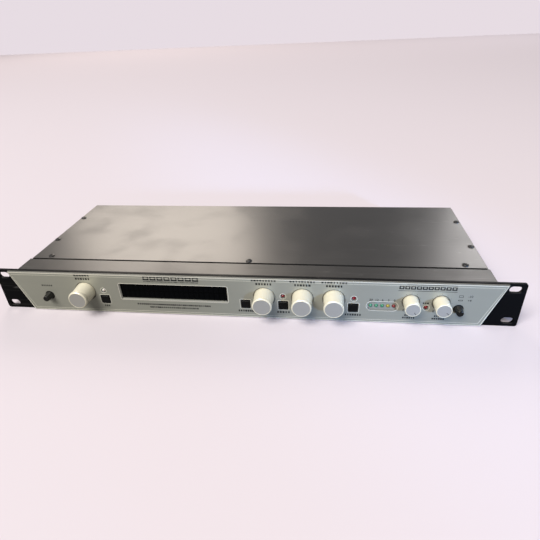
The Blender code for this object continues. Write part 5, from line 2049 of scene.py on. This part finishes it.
class Innards:
    """The solids that keep their own shape and only take a finish."""

    def finish_of(self, node: str) -> Finish | None:
        """The finish of a solid that is shown as it is, or None where a piece stands for it."""
        if frame["nodes"][node].hide_render:
            return None
        if node.endswith("_board"):
            return Finish.BOARD
        if node == "ribbon_cable":
            return Finish.CABLE
        if node.endswith("_shaft"):
            return Finish.STEEL
        if node.endswith(("_encoder", "_pot", "_switch")):
            return Finish.TIN
        if node == "heat_sink":
            return Finish.EAR
        return Finish.BLACK

    def build(self, shop: Workshop) -> None:
        """Gives each remaining solid its finish.

        Args:
            shop: the materials and node trees.
        """
        for name, node in frame["nodes"].items():
            finish = self.finish_of(name)
            if finish is None:
                continue
            material = shop.palette.of(finish)
            if not node.material_slots:
                node.data.materials.append(material)
            for slot in node.material_slots:
                slot.material = material
            LOG.info("%s keeps its solid, in %s", name, material.name)


# ---------------------------------------------------------------- the studio


@dataclass(frozen=True)
class StudioLamp:
    """One soft lamp: its power is in watts, and its spread in degrees is what its light keeps to."""

    name: str
    place: tuple[float, float, float]
    target: tuple[float, float, float]
    size: tuple[float, float]
    power: float
    colour: Colour
    spread: float = 180.0


STUDIO_LAMPS = (
    StudioLamp(
        "back_left", (-2.15, 4.9, 3.1), (-0.1, 0.1, 0.0), (2.5, 2.3), 100.0, (1.0, 0.885, 0.77)
    ),
    StudioLamp("back_right", (2.15, 4.5, 2.3), (0.2, 0.1, 0.0), (1.1, 1.7), 31.0, (1.0, 0.96, 0.94)),
    StudioLamp(
        "front_soft", (-1.9, -3.6, 4.9), (-0.05, 0.0, 0.0), (4.0, 3.0), 480.0, (1.0, 0.965, 0.90)
    ),
    StudioLamp(
        "front_cool", (1.9, -2.7, 0.7), (0.17, -0.02, 0.02), (0.3, 0.3), 0.24, (0.34, 0.56, 1.0), 5.5
    ),
)


@dataclass
class Studio:
    """The floor, the lamps and the camera."""

    floor_colour: Colour = (0.725, 0.665, 0.725)
    haze: Colour = (0.80, 0.72, 0.77)
    floor_bounce: Colour = (0.20, 0.19, 0.19)
    camera_place: tuple[float, float, float] = (0.0740034, -0.3951307, 0.2420380)
    camera_turn: tuple[float, float, float] = (1.0368708, 0.0422139, 0.1209545)
    lens: float = 28.638
    reach: float = 4.4

    def build(self) -> None:
        """Sets the whole studio up."""
        self.floor()
        self.world()
        for lamp in STUDIO_LAMPS:
            self.lamp(lamp)
        self.camera()
        bpy.context.scene.view_settings.view_transform = "Standard"

    def floor(self) -> None:
        """Builds the flat floor, which ends where the pale sky takes over."""
        material = bpy.data.materials.new("studio_floor")
        material.use_nodes = True
        surface = material.node_tree.nodes["Principled BSDF"]
        tree = material.node_tree
        seen = tree.nodes.new("ShaderNodeLightPath").outputs["Is Camera Ray"]
        colour = blend_colours(tree, seen, self.floor_bounce, self.floor_colour)
        tree.links.new(colour, surface.inputs["Base Color"])
        surface.inputs["Roughness"].default_value = 1.0
        surface.inputs["Specular IOR Level"].default_value = 0.0
        path = [(-6.0, 0.0), (self.reach, 0.0)]
        bm = bmesh.new()
        rows = [[bm.verts.new((side * 12.0, y, z)) for y, z in path] for side in (-1, 1)]
        for i in range(len(path) - 1):
            bm.faces.new((rows[0][i], rows[1][i], rows[1][i + 1], rows[0][i + 1]))
        mesh = bpy.data.meshes.new("studio_floor")
        bm.to_mesh(mesh)
        bm.free()
        mesh.shade_smooth()
        mesh.materials.append(material)
        loose("studio_floor", mesh)

    def world(self) -> None:
        """Sets a dim even sky that looks pale to the camera."""
        world = bpy.data.worlds.new("studio_sky")
        world.use_nodes = True
        bpy.context.scene.world = world
        sky = world.node_tree.nodes["Background"]
        tree = world.node_tree
        seen = tree.nodes.new("ShaderNodeLightPath").outputs["Is Camera Ray"]
        dim = tuple(0.22 * c for c in (0.94, 0.95, 1.0))
        tree.links.new(blend_colours(tree, seen, dim, self.haze), sky.inputs["Color"])
        sky.inputs["Strength"].default_value = 1.0

    def lamp(self, kind: StudioLamp) -> None:
        """Adds a soft lamp.

        Args:
            kind: its place, aim, size and light.
        """
        data = bpy.data.lights.new(kind.name, "AREA")
        data.spread = math.radians(kind.spread)
        data.shape = "RECTANGLE"
        data.size, data.size_y = kind.size
        data.energy = kind.power
        data.color = kind.colour
        lamp = bpy.data.objects.new(kind.name, data)
        lamp.location = kind.place
        aim = Vector(kind.target) - Vector(kind.place)
        lamp.rotation_euler = aim.to_track_quat("-Z", "Y").to_euler()
        bpy.context.scene.collection.objects.link(lamp)

    def camera(self) -> None:
        """Adds the camera."""
        data = bpy.data.cameras.new("camera")
        data.lens = self.lens
        data.sensor_width = 36.0
        data.clip_start = 0.01
        camera = bpy.data.objects.new("camera", data)
        camera.location = self.camera_place
        camera.rotation_euler = self.camera_turn
        bpy.context.scene.collection.objects.link(camera)
        bpy.context.scene.camera = camera


def corners(box: Sequence[Sequence[float]]) -> list[list[float]]:
    """A box as plain lists."""
    return [[float(x) for x in corner] for corner in box]


def main() -> None:
    """Builds the unit piece by piece, then the studio."""
    logging.basicConfig(level=logging.INFO, format="%(name)s %(message)s")
    shop = Workshop(Palette(), NodeTools())
    FrontPanel().build(shop)
    Fascia().build(shop)
    Print().build(shop)
    Knobs().build(shop)
    Buttons().build(shop)
    Lamps().build(shop)
    Display().build(shop)
    CaseShell().build(shop)
    RearSockets().build(shop)
    Innards().build(shop)
    Studio().build()


if __name__ == "__main__":
    main()
